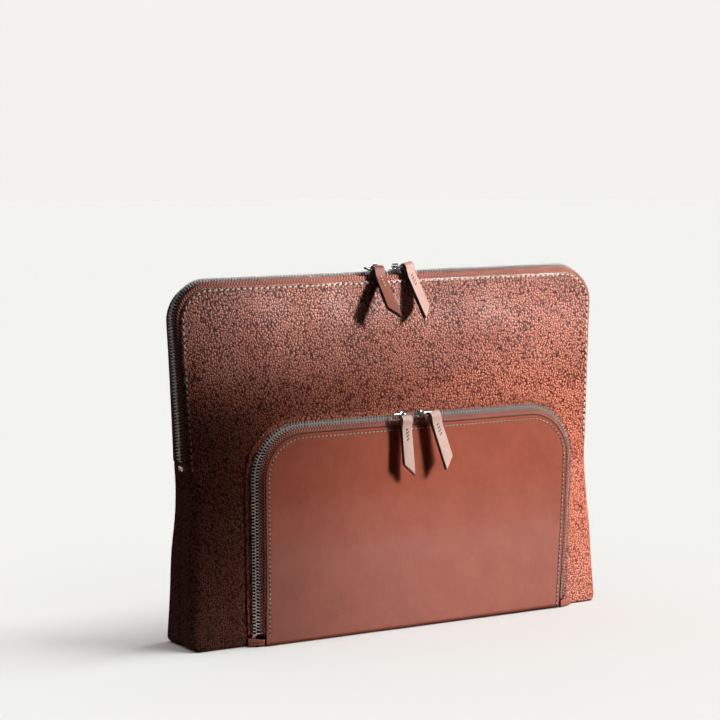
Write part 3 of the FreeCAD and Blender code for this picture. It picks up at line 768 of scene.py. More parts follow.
def body_skin(side, inset=0.0, soft=0.0, seed=1):
    """Front (side -1) or back (side 1) half of the body's skin, that far inside the leather's face."""
    b = Builder()

    def face_y(x, z):
        y = depth(z) - inset
        if soft:
            y = y + soft * ripple(x, z, seed, 70) * ease((z - 4) / 30)
        return side * y

    inner = RING
    sides = list(np.linspace(inner, CORNER_Z, 60))
    arcs = list(np.linspace(0, math.pi / 2, 12))[1:]
    cols = np.linspace(-1, 1, 91)
    centre = CORNER_HALF - CORNER_R
    rows = [(z, float(half_width(z)) - inner) for z in sides]
    rows += [(CORNER_Z + (CORNER_R - inner) * math.sin(a), centre + (CORNER_R - inner) * math.cos(a)) for a in arcs]
    grid = np.zeros((len(rows), len(cols), 3))
    for i, (z, half) in enumerate(rows):
        x = cols * half
        grid[i] = np.stack([x, face_y(x, np.full_like(x, z)), np.full_like(x, z)], 1)
    uv = side_by_side(grid)
    b.grid(grid, uv, flip=side > 0)

    # stations round the border: (inner point, outer point, outward direction, edge radius, where the wall ends)
    stations = []

    def wall_end(z):
        """The side wall reaches the middle below the zip, and only the panel's own thickness beside it."""
        t = float(ease((z - SLOT_Z + 4.0) / 6.0))
        return (1 - t) * 0.02 + t * (float(depth(z)) - inset - 2.2)

    def edge_radius(z, sgn=1):
        """Only the front's left corner is pulled to a wide curve."""
        t = float(ease((z - 112.0) / 22.0))
        wide = 5.5 if side < 0 and sgn < 0 else 0.3
        low = 3.2 + wide * float(ease((z - 4.0) / 40.0))
        return (1 - t) * low + t * 1.15

    for sgn in (-1, 1):
        part = []
        # bottom, from the middle outwards
        half0 = rows[0][1]
        mid = len(cols) // 2
        idx = range(mid, -1, -1) if sgn < 0 else range(mid, len(cols))
        for k in idx:
            x = cols[k] * half0
            part.append(((x, inner), (x, 0.0), (0.0, -1.0), 2.0, BASE_SEAM + 0.05))
        x_flat = float(half_width(6)) - FOOT_R
        for t in (0.35, 0.7, 1.0):
            x = half0 + (x_flat - half0) * t
            part.append(((sgn * half0, inner), (sgn * x, 0.0), (0.0, -1.0), 2.0, BASE_SEAM + 0.05))
        for a in np.linspace(0, math.pi / 2, 9)[1:]:
            out = (math.sin(a), -math.cos(a))
            px = x_flat + FOOT_R * out[0]
            pz = FOOT_R + FOOT_R * out[1]
            t = ease(a / (math.pi / 2))
            part.append(((sgn * half0, inner), (sgn * px, pz), (sgn * out[0], out[1]),
                         2.0 + (edge_radius(6, sgn) - 2.0) * t, (1 - t) * (BASE_SEAM + 0.05) + t * 0.02))
        part.append(((sgn * half0, inner), (sgn * float(half_width(8.5)), 8.5), (sgn, 0), edge_radius(8.5, sgn), 0.02))
        for z, half in rows[:60]:
            w = float(half_width(z))
            part.append(((sgn * half, z), (sgn * w, z), (sgn, 0.0), edge_radius(z, sgn), wall_end(z)))
        for a in arcs:
            out = (math.cos(a), math.sin(a))
            r0 = CORNER_R - inner
            part.append(((sgn * (centre + r0 * out[0]), CORNER_Z + r0 * out[1]),
                         (sgn * (centre + CORNER_R * out[0]), CORNER_Z + CORNER_R * out[1]),
                         (sgn * out[0], out[1]), edge_radius(250), wall_end(250)))
        for k in (range(1, mid + 1) if sgn < 0 else range(len(cols) - 2, mid - 1, -1)):
            x = cols[k] * rows[-1][1]
            part.append(((x, rows[-1][0]), (x, 257.0), (0.0, 1.0), edge_radius(257), wall_end(257)))
        stations.append(part)

    for sgn, part in zip((-1, 1), stations):
        flat_share = np.array([0, 0.2, 0.4, 0.6, 0.8, 1.0])
        bend = np.linspace(0, math.pi / 2, 8)[1:]
        wall_share = np.array([0.25, 0.5, 0.75, 1.0])
        pts = []
        uvs = []
        for (q, p, out, r, end) in part:
            q, p, out = np.array(q), np.array(p) - np.array(out) * inset, np.array(out)
            r = max(r - inset * 0.6, 0.5)
            row = []
            uvr = []
            knee = p - out * r
            for f in flat_share:
                xz = q + (knee - q) * f
                row.append((xz[0], float(face_y(xz[0], xz[1])), xz[1]))
                uvr.append(xz)
            last_y = abs(row[-1][1])
            for a in bend:
                xz = knee + out * r * math.sin(a)
                row.append((xz[0], side * (last_y - r * (1 - math.cos(a))), xz[1]))
                uvr.append(knee + out * r * a)
            y0 = last_y - r
            stop = min(end, y0 - 0.05)
            for f in wall_share:
                y = y0 + (stop - y0) * f
                row.append((p[0], side * y, p[1]))
                uvr.append(knee + out * (r * math.pi / 2 + (y0 - y)))
            pts.append(row)
            uvs.append(uvr)
        b.grid(np.array(pts), np.array(uvs), flip=(sgn * side > 0))
    return b


def skin(name, side, inset, soft, thickness, material, seed=1):
    ob = body_skin(side, inset, soft, seed).obj(name, [material], weld=0.02)
    if thickness:
        thicken(ob, thickness)
    return ob


front = skin("front_leather", -1, 0.0, 0.35, 1.3, GRAINED, 3)
done(front, "sleeve", "grained_leather", "front_panel")
back = skin("back_leather", 1, 0.0, 0.35, 1.3, GRAINED, 5)
folds(back, "grained_leather", "back_panel_lower", "back_panel_upper")


def slab(name, x0, x1, y0, y1, z0, z1, edge, material, nx=40, ny=6):
    """Flat piece with rounded edges: used for the base and the strip under the pocket."""
    b = Builder()
    prof = []
    for a in np.linspace(0, math.pi, 9):
        prof.append((edge * math.sin(a) - edge, (z0 + z1) / 2 + (z1 - z0) / 2 * math.cos(a)))
    rings = []
    steps = []
    for k in range(nx):
        steps.append((x0 + (x1 - x0) * k / nx, y0, 0, -1))
    for k in range(ny):
        steps.append((x1, y0 + (y1 - y0) * k / ny, 1, 0))
    for k in range(nx):
        steps.append((x1 + (x0 - x1) * k / nx, y1, 0, 1))
    for k in range(ny):
        steps.append((x0, y1 + (y0 - y1) * k / ny, -1, 0))
    for x, y, ox, oy in steps:
        corner = abs(x - x0) < 1e-6 or abs(x - x1) < 1e-6
        cx = (1 if abs(x - x1) < 1e-6 else -1) if corner else 0
        cy = (1 if abs(y - y1) < 1e-6 else (-1 if abs(y - y0) < 1e-6 else 0))
        rings.append([(x + cx * d, y + cy * d, z) for d, z in prof])
    rings = np.array(rings)
    uv = np.stack([rings[:, :, 0], rings[:, :, 1] + rings[:, :, 2]], 2)
    b.grid(rings, uv, wrap_u=True)
    b.add(rings[:, 0], [tuple(range(len(steps)))], rings[:, 0, :2])
    b.add(rings[:, -1], [tuple(reversed(range(len(steps))))], rings[:, -1, :2])
    return b.obj(name, [material], weld=0.01)


base = slab("base_leather", BASE_LO[0] + 2.0, BASE_HI[0] - 2.0, BASE_LO[1], BASE_HI[1], 0.0, LEATHER, 0.4, GRAINED)
done(base, "sleeve", "grained_leather", "base_panel")


# ---- padding and lining ----------------------------------------------------------------
def pad(name, node_names, body_fn, nx=48, nz=40):
    """Foam sheet filling the room of its CAD nodes between leather and lining."""
    los, his = zip(*[cad_box(n) for n in node_names])
    lo, hi = np.min(los, 0), np.max(his, 0)
    side = -1 if hi[1] < 0 else 1
    b = Builder()
    xs = np.linspace(-1, 1, nx)
    zs = np.linspace(lo[2] + 0.3, hi[2] - 0.3, nz)
    for inset, flip in ((LEATHER + 0.35, side > 0), (LEATHER + 1.75, side < 0)):
        grid = np.zeros((nz, nx, 3))
        for i, z in enumerate(zs):
            half = float(half_width(z)) - PAD_INSET
            if z > CORNER_Z:
                reach = math.sqrt(max(CORNER_R**2 - (z - CORNER_Z)**2, 1))
                half = min(half, CORNER_HALF - CORNER_R + reach - PAD_INSET)
            x = xs * half
            puff = 0.12 * ripple(x, np.full_like(x, z), 11, 35)
            y = side * (depth(z) - inset + puff * 0.5)
            grid[i] = np.stack([x, y, np.full_like(x, z)], 1)
        b.grid(grid, side_by_side(grid), flip=flip)
        if inset < LEATHER + 1:
            outer = grid
        else:
            rim_o = np.concatenate([outer[0], outer[1:, -1], outer[-1, -2::-1], outer[-2:0:-1, 0]])
            rim_i = np.concatenate([grid[0], grid[1:, -1], grid[-1, -2::-1], grid[-2:0:-1, 0]])
            rim = np.stack([rim_o, rim_i], 1)
            b.grid(rim, side_by_side(rim), wrap_u=True, flip=side > 0)
    ob = b.obj(name, [FOAM], weld=0.01)
    body_fn(ob)
    return ob


front_foam = pad("front_foam_pad", ["front_foam"], lambda o: done(o, "sleeve", "foam", "front_foam"))
back_foam = pad("back_foam_pad", ["back_foam_lower", "back_foam_upper"],
                lambda o: folds(o, "foam", "back_foam_lower", "back_foam_upper"))
BF_LO, BF_HI = cad_box("base_foam")
base_foam = slab("base_foam_pad", BF_LO[0], BF_HI[0], BF_LO[1], BF_HI[1], BF_LO[2], BF_HI[2], 0.8, FOAM)
done(base_foam, "sleeve", "foam", "base_foam")


def lining_skin(side, name):
    return skin(name, side, 3.8, 0.15, 0.4, LINING, 9)


front_lining = lining_skin(-1, "front_lining_cloth")
done(front_lining, "sleeve", "lining_cloth", "front_lining")
back_lining = lining_skin(1, "back_lining_cloth")
folds(back_lining, "lining_cloth", "back_lining_lower", "back_lining_upper")


# ---- zip teeth -----------------------------------------------------------------------------
def tooth_template():
    """One tooth along its own axes: clamp over the tape's cord, shank, then a rounded head."""
    sections = [(3.35, 0.36, 0.62, 0.2), (3.15, 0.46, 0.86, 0.2), (2.3, 0.47, 0.88, 0.2), (1.5, 0.44, 0.84, 0.2),
                (0.75, 0.38, 0.76, 0.18), (0.25, 0.46, 0.80, 0.2), (-0.25, 0.46, 0.74, 0.22), (-0.6, 0.28, 0.5, 0.16)]
    pts = []
    for c, a, n, k in sections:
        pts += [(a - k, c, -n), (a, c, -n + k), (a, c, n - k), (a - k, c, n),
                (-a + k, c, n), (-a, c, n - k), (-a, c, -n + k), (-a + k, c, -n)]
    return np.array(pts, float), tube(len(sections), 8)


TOOTH, TOOTH_FACES = tooth_template()
TOOTH = TOOTH * np.array([0.84, 1.0, 1.0])
SMALL_TOOTH = TOOTH * np.array([0.96, 0.76, 0.9])
TOOTH_FLIPPED = flipped(TOOTH_FACES)


def chain_tilt(s):
    """How far each row of teeth leans down from the middle: most along the top, none beside."""
    rise = float(proud(EDGE.at(s)[0][2]))
    return math.radians(38) * float(ease((rise - 2.0) / 3.2))


def main_teeth(name, side, phase):
    b = Builder()
    for s in EDGE.evenly(main_chain, TOOTH_PITCH, start=phase, end=EDGE.length - 1.15):
        out = EDGE.at(s)[1]
        along = np.array([out[2], 0, -out[0]])
        tilt = rng.uniform(-0.02, 0.02)
        lean = chain_tilt(s)
        flat = np.array([0, side, 0]) + along * tilt
        across = flat * math.cos(lean) - out * math.sin(lean)
        face = out * math.cos(lean) + flat * math.sin(lean)
        stamp(b, TOOTH, TOOTH_FLIPPED if side < 0 else TOOTH_FACES, main_chain(s), along, across, face)
    return b.obj(name, [TEETH])


front_teeth = main_teeth("main_front_teeth", -1, 0.7)
done(front_teeth, "sleeve", "zip_metal", "main_zip_front_teeth")
back_teeth = main_teeth("main_back_teeth", 1, 0.7 + TOOTH_PITCH / 2)
folds(back_teeth, "zip_metal", "main_zip_back_teeth")


def pocket_teeth(name, side, phase):
    b = Builder()
    end = POCKET_CHAIN.length - 1.15
    for s in POCKET_CHAIN.evenly(lambda t: wall_point(t, 0.5), TOOTH_PITCH, start=phase, end=end):
        along, across, out = wall_frame(s)
        tilt = rng.uniform(-0.02, 0.02)
        stamp(b, SMALL_TOOTH, TOOTH_FLIPPED if side > 0 else TOOTH_FACES, wall_point(s, 0.5), along,
              across * side + along * tilt, out)
    return b.obj(name, [TEETH])


outer_teeth = pocket_teeth("pocket_outer_teeth", -1, 0.7)
done(outer_teeth, "sleeve", "zip_metal", "pocket_zip_outer_teeth")
inner_teeth = pocket_teeth("pocket_inner_teeth", 1, 0.7 + TOOTH_PITCH / 2)
done(inner_teeth, "pocket_flap", "zip_metal", "pocket_zip_inner_teeth")


# ---- zip tapes ---------------------------------------------------------------------------------
def main_tape(name, side):
    """Tape from under the panel's edge, over it and in to the teeth, with a near-black cord below them that paints the
    shade under the teeth.
    """
    b = Builder()
    cords = []
    rows, uvs = [], []
    run = 0.0
    last = None
    for s in np.arange(0, EDGE.length + 0.01, 1.6):
        s = min(s, EDGE.length)
        point, out = EDGE.at(s)
        rise = float(proud(point[2]))
        hold = float(depth(point[2])) - LEATHER - 0.1
        middle = main_chain(s)
        if last is not None:
            run += float(np.linalg.norm(middle - last))
        last = middle
        lean = chain_tilt(s)
        near, wide = TOOTH_GAP + TOOTH_WIDE + 0.05, TOOTH_GAP + TOOTH_WIDE + 2.0
        inner = (near * math.cos(lean), rise - near * math.sin(lean))
        flat = (wide * math.cos(lean), rise + 0.1 - wide * math.sin(lean))
        shoulder = (hold - 1.2 + 0.5 * math.sin(lean), (rise + 0.1) * (1 - 0.62 * math.sin(lean)))
        ctrl = [(hold, -2.6), (hold, -0.6), (hold - 0.15, shoulder[1] * 0.35 + 0.35), shoulder, flat, inner]
        line = []
        for k in range(len(ctrl) - 1):
            for f in (0.0, 0.34, 0.67):
                line.append(tuple(np.array(ctrl[k]) + (np.array(ctrl[k + 1]) - np.array(ctrl[k])) * f))
        line.append(ctrl[-1])
        line = np.array(line)
        for _ in range(3):
            line[1:-1] = (line[:-2] + 2 * line[1:-1] + line[2:]) / 4
        length = lengths_along(line)
        rows.append([point + np.array([0, side * y, 0]) + out * n for y, n in line])
        uvs.append([(run, v) for v in length[::-1]])
        cords.append([middle + np.array([0, side * (c * math.cos(lean) - 0.95 * math.sin(lean)), 0])
                      - out * (c * math.sin(lean) + 0.95 * math.cos(lean)) for c in (3.2, 2.2, 1.2, 0.15)])
    b.grid(np.array(rows), np.array(uvs), flip=side < 0)
    cords = np.array(cords)
    # the cord under the teeth takes the near-black material: painted shade
    b.grid(cords, side_by_side(cords), mark=1, flip=side < 0)
    return thicken(b.obj(name, [TAPE, CORD_SHADE]), 0.55, 0.0)


front_tape = main_tape("main_front_tape", -1)
done(front_tape, "sleeve", "zip_tape", "main_zip_front_tape")
back_tape = main_tape("main_back_tape", 1)
folds(back_tape, "zip_tape", "main_zip_back_tape")


def pocket_tape(name, side, material):
    b = Builder()
    cords = []
    rows, uvs = [], []
    run = 0.0
    last = None
    near = (TOOTH_GAP + TOOTH_WIDE) * 0.76
    for s in np.arange(0, POCKET_CHAIN.length + 0.01, 1.6):
        s = min(s, POCKET_CHAIN.length)
        along, across, out = wall_frame(s)
        middle = wall_point(s, 0.5)
        if last is not None:
            run += float(np.linalg.norm(middle - last))
        last = middle
        far = float((wall_point(s, 1) - middle) @ across) - 0.9
        row, uvr = [], []
        for f in np.linspace(0, 1, 9):
            a = near + (far - near) * f
            sag = -0.35 * math.sin(math.pi * f)
            p = middle + across * side * a + out * sag
            row.append(p)
            uvr.append((run, a) if side > 0 else (p[0] - p[1], p[2]))
        rows.append(row)
        uvs.append(uvr)
        # the cord under the teeth takes the near-black material: painted shade
        cords.append([middle + across * side * c - out * 0.9 for c in (2.6, 1.8, 1.0, 0.1)])
    b.grid(np.array(rows), np.array(uvs), flip=side > 0)
    cords = np.array(cords)
    b.grid(cords, side_by_side(cords), mark=1, flip=side > 0)
    return thicken(b.obj(name, [material, CORD_SHADE]), 0.55, 0.0)


outer_tape = pocket_tape("pocket_outer_tape", -1, GRAINED)
done(outer_tape, "sleeve", "zip_tape", "pocket_zip_outer_tape")
inner_tape = pocket_tape("pocket_inner_tape", 1, TAPE)
done(inner_tape, "pocket_flap", "zip_tape", "pocket_zip_inner_tape")


# ---- stitching ------------------------------------------------------------------------------------
def stitch_template(long, wide, high):
    """Short length of thread lying on the leather, its ends dipping in."""
    pts, uv = [], []
    rings = 9
    around = 8
    for i in range(rings):
        t = -1 + 2 * i / (rings - 1)
        r = max(1 - abs(t) ** 3.2, 0.02) ** 0.5
        for j in range(around):
            a = math.tau * j / around
            rise = high * (0.35 * (1 - abs(t) ** 2.5) - 0.1)
            pts.append((long / 2 * t, wide / 2 * r * math.cos(a), rise + high / 2 * r * math.sin(a)))
            uv.append((long / 2 * t, wide * 0.5 * a))
    faces = [(a, d, c, b) for a, b, c, d in tube(rings, around, caps=False)]
    return np.array(pts), faces, np.array(uv)


STITCH, STITCH_FACES, STITCH_UV = stitch_template(2.3, 0.95, 0.7)


# flat dark disc laid over a needle hole: painted shade, not a real hole
def disc_template(radius):
    turns = np.linspace(0, math.tau, 9)[:-1]
    pts = [(0, 0, -0.05)] + [(radius * 1.25 * math.cos(a), radius * math.sin(a), 0.03) for a in turns]
    return np.array(pts), [(0, 1 + j, 1 + (j + 1) % 8) for j in range(8)]


DISC, DISC_FACES = disc_template(0.52)


def stitch_row(name, path, inset, surface, side, start, slant, pitch, size, body_fn):
    """Row of threads with a needle hole at each end, lying on y = side * surface(z); each hole is a flat dark disc
    that paints the hole's shade.
    """
    b = Builder()

    def curve(s):
        point, out = path.at(s)
        return point - out * inset

    spots = path.evenly(curve, pitch, start=start + pitch / 2, end=path.length - min(start, 0.0))
    for s in spots:
        out = path.at(s)[1]
        along = np.array([out[2], 0, -out[0]])
        spot = curve(s)
        dz = 0.5
        slope = (float(surface(spot[2] + dz)) - float(surface(spot[2] - dz))) / (2 * dz)
        face = np.array([0, side * 1.0, -slope])
        face = face / np.linalg.norm(face)
        along = along - face * (along @ face)
        along = along / np.linalg.norm(along)
        cross = np.cross(face, along)
        spot = np.array([spot[0], side * float(surface(spot[2])), spot[2]])
        turn = math.radians(slant + rng.uniform(-2.5, 2.5))
        a2 = along * math.cos(turn) + cross * math.sin(turn)
        c2 = cross * math.cos(turn) - along * math.sin(turn)
        stamp(b, STITCH * np.array(size), STITCH_FACES, spot + face * 0.16, a2, c2, face, STITCH_UV)
        # a dark disc between stitches paints the needle hole's shade
        stamp(b, DISC * size[1], DISC_FACES, spot + along * pitch / 2 + face * 0.05, along, cross, face, mark=1)
    ob = b.obj(name, [THREAD, HOLE_SHADE])
    body_fn(ob)
    return ob


stitch_row("front_edge_stitching", EDGE, STITCH_INSET, depth, -1, -6.9, 12, 4.6, (1.25, 1.25, 1.1),
           lambda o: done(o, "sleeve", "thread", "front_panel_stitching"))
stitch_row("back_edge_stitching", EDGE, STITCH_INSET, depth, 1, 0.0, 12, 4.6, (1.25, 1.25, 1.1),
           lambda o: folds(o, "thread", "back_panel_stitching"))
stitch_row("pocket_edge_stitching", POCKET_EDGE, POCKET_STITCH_INSET, pocket_depth, -1, 4.0, 9, STITCH_PITCH,
           (1.0, 1.0, 1.0),
           lambda o: done(o, "pocket_flap", "thread", "pocket_panel_stitching"))


# ---- pocket panel, linings, strip, tabs --------------------------------------------------------------
def pocket_sheet(name, material, inset_xz, y_off, thickness, edge_r, foot, seam=False):
    """Panel inside the pocket's edge: even rows across, rings along the border."""
    path = pocket_edge(foot, -inset_xz)
    b = Builder()
    width = 9.0
    n_side, n_arc, n_top = 44, 18, 84
    spots = []
    line_l, arc_l, line_t, arc_r, line_r = path.lengths
    spots += list(np.linspace(0, line_l, n_side)[:-1])
    spots += list(line_l + np.linspace(0, arc_l, n_arc)[:-1])
    spots += list(line_l + arc_l + np.linspace(0, line_t, n_top)[:-1])
    spots += list(line_l + arc_l + line_t + np.linspace(0, arc_r, n_arc)[:-1])
    spots += list(line_l + arc_l + line_t + arc_r + np.linspace(0, line_r, n_side))

    def y_at(x, z, from_edge):
        y = -pocket_depth(z) + y_off
        if seam:
            y = y + 0.22 * np.exp(-((from_edge - POCKET_STITCH_INSET) / 0.8) ** 2)
            y = y + 0.1 * ripple(x, z, 21, 60) * ease(from_edge / 12)
        return y

    insets = [width, 7.4, 6.0, 4.9, 4.0, 3.4, 2.8, 2.2, 1.6, 1.1]
    rows, uvs = [], []
    for s in spots:
        point, out = path.at(s)
        row, uvr = [], []
        for d in insets:
            p = point - out * d
            p[2] = max(p[2], foot)
            p[1] = float(y_at(p[0], p[2], d))
            row.append(p)
            uvr.append((p[0], p[2]))
        knee = row[-1]
        r = insets[-1] if edge_r is None else edge_r
        base_p = point - out * r
        for a in np.linspace(0, math.pi / 2, 6)[1:]:
            p = base_p + out * r * math.sin(a)
            p[2] = max(p[2], foot)
            p[1] = float(y_at(p[0], p[2], 0)) + r * (1 - math.cos(a))
            row.append(p)
            uvr.append((p[0] + out[0] * r * a, p[2] + out[2] * r * a))
        rows.append(row)
        uvs.append(uvr)
    rows = np.array(rows)
    b.grid(rows, np.array(uvs), flip=True)
    # middle: straight rows between matching points of the left and right borders, up to the top border
    inner = rows[:, 0]
    count = len(inner)
    n_left = n_side - 1 + n_arc - 1
    left = inner[:n_left + 1]
    right = inner[::-1][:n_left + 1]
    cols = np.linspace(0, 1, n_top)
    grid = np.zeros((n_left + 1, n_top, 3))
    for i in range(n_left + 1):
        p = left[i][None] + (right[i] - left[i])[None] * cols[:, None]
        d_edge = np.full(n_top, 12.0)
        p[:, 1] = y_at(p[:, 0], p[:, 2], d_edge)
        grid[i] = p
    grid[:, 0] = left
    grid[:, -1] = right
    grid[-1] = inner[n_left:n_left + n_top]
    b.grid(grid, side_by_side(grid), flip=False)
    ob = b.obj(name, [material], weld=0.02)
    if thickness:
        thicken(ob, thickness)
    return ob


pocket = pocket_sheet("pocket_leather", CALF, 0.0, 0.0, 1.3, 1.0, 0.4, seam=True)
done(pocket, "pocket_flap", "smooth_leather", "pocket_panel")
pocket_lining = pocket_sheet("pocket_lining_cloth", LINING, 2.5, LEATHER + 0.12, 0.35, 0.3, POCKET_FOOT + 2)
done(pocket_lining, "pocket_flap", "lining_cloth", "pocket_panel_lining")


def pocket_backing():
    """Cloth on the body behind the pocket."""
    path = pocket_edge(8.0, POCKET_WALL - 5)
    b = Builder()
    n = 60
    left = [path.at(s)[0] for s in np.linspace(0, path.lengths[0] + path.lengths[1], n)]
    total = path.length
    right = [path.at(total - s)[0] for s in np.linspace(0, path.lengths[3] + path.lengths[4], n)]
    cols = np.linspace(0, 1, 70)
    grid = np.zeros((n, 70, 3))
    for i in range(n):
        p = left[i][None] + (right[i] - left[i])[None] * cols[:, None]
        p[:, 1] = -depth(p[:, 2]) - 0.6
        grid[i] = p
    b.grid(grid, side_by_side(grid), flip=False)
    return thicken(b.obj("pocket_back_cloth", [LINING]), 0.3)


pocket_back = pocket_backing()
done(pocket_back, "sleeve", "lining_cloth", "pocket_back_lining")
STRIP_LO, STRIP_HI = cad_box("pocket_base_strip")
strip = slab("pocket_base_leather", STRIP_LO[0], STRIP_HI[0], STRIP_LO[1] + 1.6, STRIP_HI[1],
             STRIP_LO[2], STRIP_HI[2], 0.8, CALF)
done(strip, "sleeve", "smooth_leather", "pocket_base_strip")


def rounded_block(builder, centre, u, v, w, size, radius):
    """Block with rounded edges in a frame of three directions."""
    a, b2, c = [x / 2 for x in size]
    pts = []
    sections = [(-c, 0.72), (-c + radius * 0.35, 0.92), (-c + radius, 1.0),
                (c - radius, 1.0), (c - radius * 0.35, 0.92), (c, 0.72)]
    ring = []
    for k in range(4 * 4):
        ang = math.tau * (k + 0.5) / 16
        x = max(-1, min(1, math.cos(ang) * 1.45))
        y = max(-1, min(1, math.sin(ang) * 1.45))
        ring.append((x, y))
    for h, shrink in sections:
        back = radius * (1 - shrink) * 1.2
        for x, y in ring:
            pts.append(centre + u * (x * (a - back)) + v * (y * (b2 - back)) + w * h)
    builder.add(np.array(pts), tube(len(sections), len(ring)))


def pocket_tabs():
    b = Builder()
    stops = Builder()
    tacks = Builder()
    for s in (0.0, POCKET_CHAIN.length):
        along, across, out = wall_frame(s)
        centre = wall_point(s, 0.5)
        rounded_block(stops, centre + np.array([0, 0, -0.7]) - across * 1.9, along, across, out, (1.2, 2.4, 1.7), 0.5)
        seam, rim = wall_point(s, 0.06) + out * 0.8, wall_point(s, 0.92)
        foot_z = 0.5
        n = 14
        grid = []
        for f in np.linspace(0, 1, 6):
            row = []
            for t in np.linspace(0, 1, n):
                p = seam + (rim - seam) * t + out * 2.2 * (1 - t) * (1 - f)
                head_z = POCKET_CHAIN_Z - 2.6 + 1.6 * (1 - t)
                bulge = 0.5 * math.sin(math.pi * t)
                row.append(np.array([p[0], p[1], foot_z + (head_z - foot_z) * f]) + out * (bulge - 0.2))
            grid.append(row)
        grid = np.array(grid)
        b.grid(grid, grid[:, :, [1, 2]], flip=False)
        for t in (0.12, 0.27, 0.42, 0.57, 0.72):
            p = seam + (rim - seam) * t + out * (0.45 + 1.1 * (1 - t) + 0.5 * math.sin(math.pi * t))
            spot = np.array([p[0], p[1], POCKET_CHAIN_Z - 3.9 + 0.9 * (1 - t)])
            line = (rim - seam) / np.linalg.norm(rim - seam)
            stamp(tacks, STITCH * np.array([0.6, 0.7, 0.7]), STITCH_FACES, spot, line,
                  np.cross(out, line), out, STITCH_UV)
    tab = b.obj("pocket_end_tabs", [CALF])
    thicken(tab, 1.1)
    done(tab, "sleeve", "smooth_leather", "pocket_zip_end_tabs")
    done(tacks.obj("pocket_tab_stitching", [THREAD]), "sleeve", "thread")
    stop = stops.obj("pocket_end_stops", [COPPERY])
    done(stop, "sleeve", "zip_metal", "pocket_zip_end_stops")


pocket_tabs()


def main_ends():
    stops = Builder()
    bars = Builder()
    tape_ends = Builder()
    for side in (-1, 1):
        x = side * (float(half_width(FOLD_Z)) + 0.4)
        low, high = SLOT_Z + 1.0, FOLD_Z - 0.6
        rounded_block(stops, np.array([x, 0, (low + high) / 2]), X_AXIS * side, Y_AXIS, Z_AXIS,
                      (2.0, 5.6, high - low + 0.6), 0.8)
        x = side * (float(half_width(SLOT_Z - 2)) + 0.35)
        for z in (SLOT_Z - 2.4, SLOT_Z - 1.2):
            stamp(bars, STITCH * np.array([5.6 / 2.55, 1.0, 1.0]), STITCH_FACES, np.array([x, 0, z]), Y_AXIS, Z_AXIS,
                  X_AXIS * side, STITCH_UV)
        rows = []
        for z in np.linspace(SLOT_Z - 4, FOLD_Z + 4, 12):
            reach = float(depth(z)) - 1.9
            wall = side * (float(half_width(z)) - 0.75)
            rows.append([np.array([wall + side * 0.2 * math.cos(y), y, z]) for y in np.linspace(-reach, reach, 13)])
        rows = np.array(rows)
        tape_ends.grid(rows, rows[:, :, [2, 1]], flip=side > 0)
    done(stops.obj("main_end_stops", [COPPERY]), "sleeve", "zip_metal", "main_zip_end_stops")
    done(thicken(tape_ends.obj("main_end_tape", [TAPE]), 0.5), "sleeve", "zip_tape")
    done(bars.obj("main_bar_tacks", [DARK_THREAD]), "sleeve", "thread", "main_zip_bar_tacks")


main_ends()


# ---- sliders, rings and pulls ------------------------------------------------------------------------
def plate(builder, long, w0, w1, n0, n1, corner, edge):
    """Flat plate with rounded corners and softened edges; local axes x, y, z."""
    outline = []
    for cx, cy, a0 in ((long / 2 - corner, w1 - corner, 0), (-long / 2 + corner, w1 - corner, 90),
                       (-long / 2 + corner, w0 + corner, 180), (long / 2 - corner, w0 + corner, 270)):
        for k in range(7):
            a = math.radians(a0 + 15 * k)
            outline.append((cx, cy, math.cos(a), math.sin(a)))
    levels = [(n0, edge), (n0 + edge * 0.3, edge * 0.3), (n0 + edge, 0.0),
              (n1 - edge, 0.0), (n1 - edge * 0.3, edge * 0.3), (n1, edge)]
    pts = []
    for z, back in levels:
        for cx, cy, dx, dy in outline:
            pts.append((cx + dx * (corner - back), cy + dy * (corner - back), z))
    builder.add(np.array(pts), tube(len(levels), len(outline)))


def sweep(builder, centres, sides, ups, section, closed):
    """Section (side, up) swept along centres."""
    rows = []
    for c, s, u in zip(centres, sides, ups):
        rows.append([c + s * a + u * h for a, h in section])
    rows = np.array(rows)
    length = lengths_along(rows[:, 0])
    around = lengths_along(np.array(section))
    uv = np.array([[(x, y) for y in around] for x in length])
    builder.grid(rows, uv, wrap_u=closed, wrap_v=True)
    if not closed:
        m = len(section)
        builder.add(rows[0], [tuple(range(m))])
        builder.add(rows[-1], [tuple(reversed(range(m)))])


def slider_local(open_side):
    b = Builder()
    top = 1.0
    thick = 0.8
    plate(b, 9.8, -3.6, 3.6, top, top + thick, 2.4, 0.3)
    if open_side:
        plate(b, 9.8, -3.3, 0.4, -top - thick, -top, 0.39, 0.2)
    else:
        plate(b, 9.8, -3.3, 3.3, -top - thick, -top, 1.8, 0.3)
    plate(b, 3.0, -0.4, 0.4, -top - 0.1, top + 0.1, 0.38, 0.02)
    # arch over the ring's bar
    mid_r = 3.0
    spring = 2.4
    section = []
    for k in range(16):
        a = math.tau * k / 16
        section.append((1.2 * math.copysign(abs(math.cos(a)) ** 0.6, math.cos(a)),
                        0.6 * math.copysign(abs(math.sin(a)) ** 0.6, math.sin(a))))
    pts, ups = [], []
    for z in (1.5, 1.9, spring):
        pts.append(np.array([0, mid_r, z]))
        ups.append(np.array([0, 1.0, 0]))
    for a in np.linspace(0, math.pi, 21)[1:-1]:
        pts.append(np.array([0, mid_r * math.cos(a), spring + mid_r * math.sin(a)]))
        ups.append(np.array([0, math.cos(a), math.sin(a)]))
    for z in (spring, 1.9, 1.5):
        pts.append(np.array([0, -mid_r, z]))
        ups.append(np.array([0, -1.0, 0]))
    sweep(b, pts, [X_AXIS] * len(pts), ups, section, False)
    return b


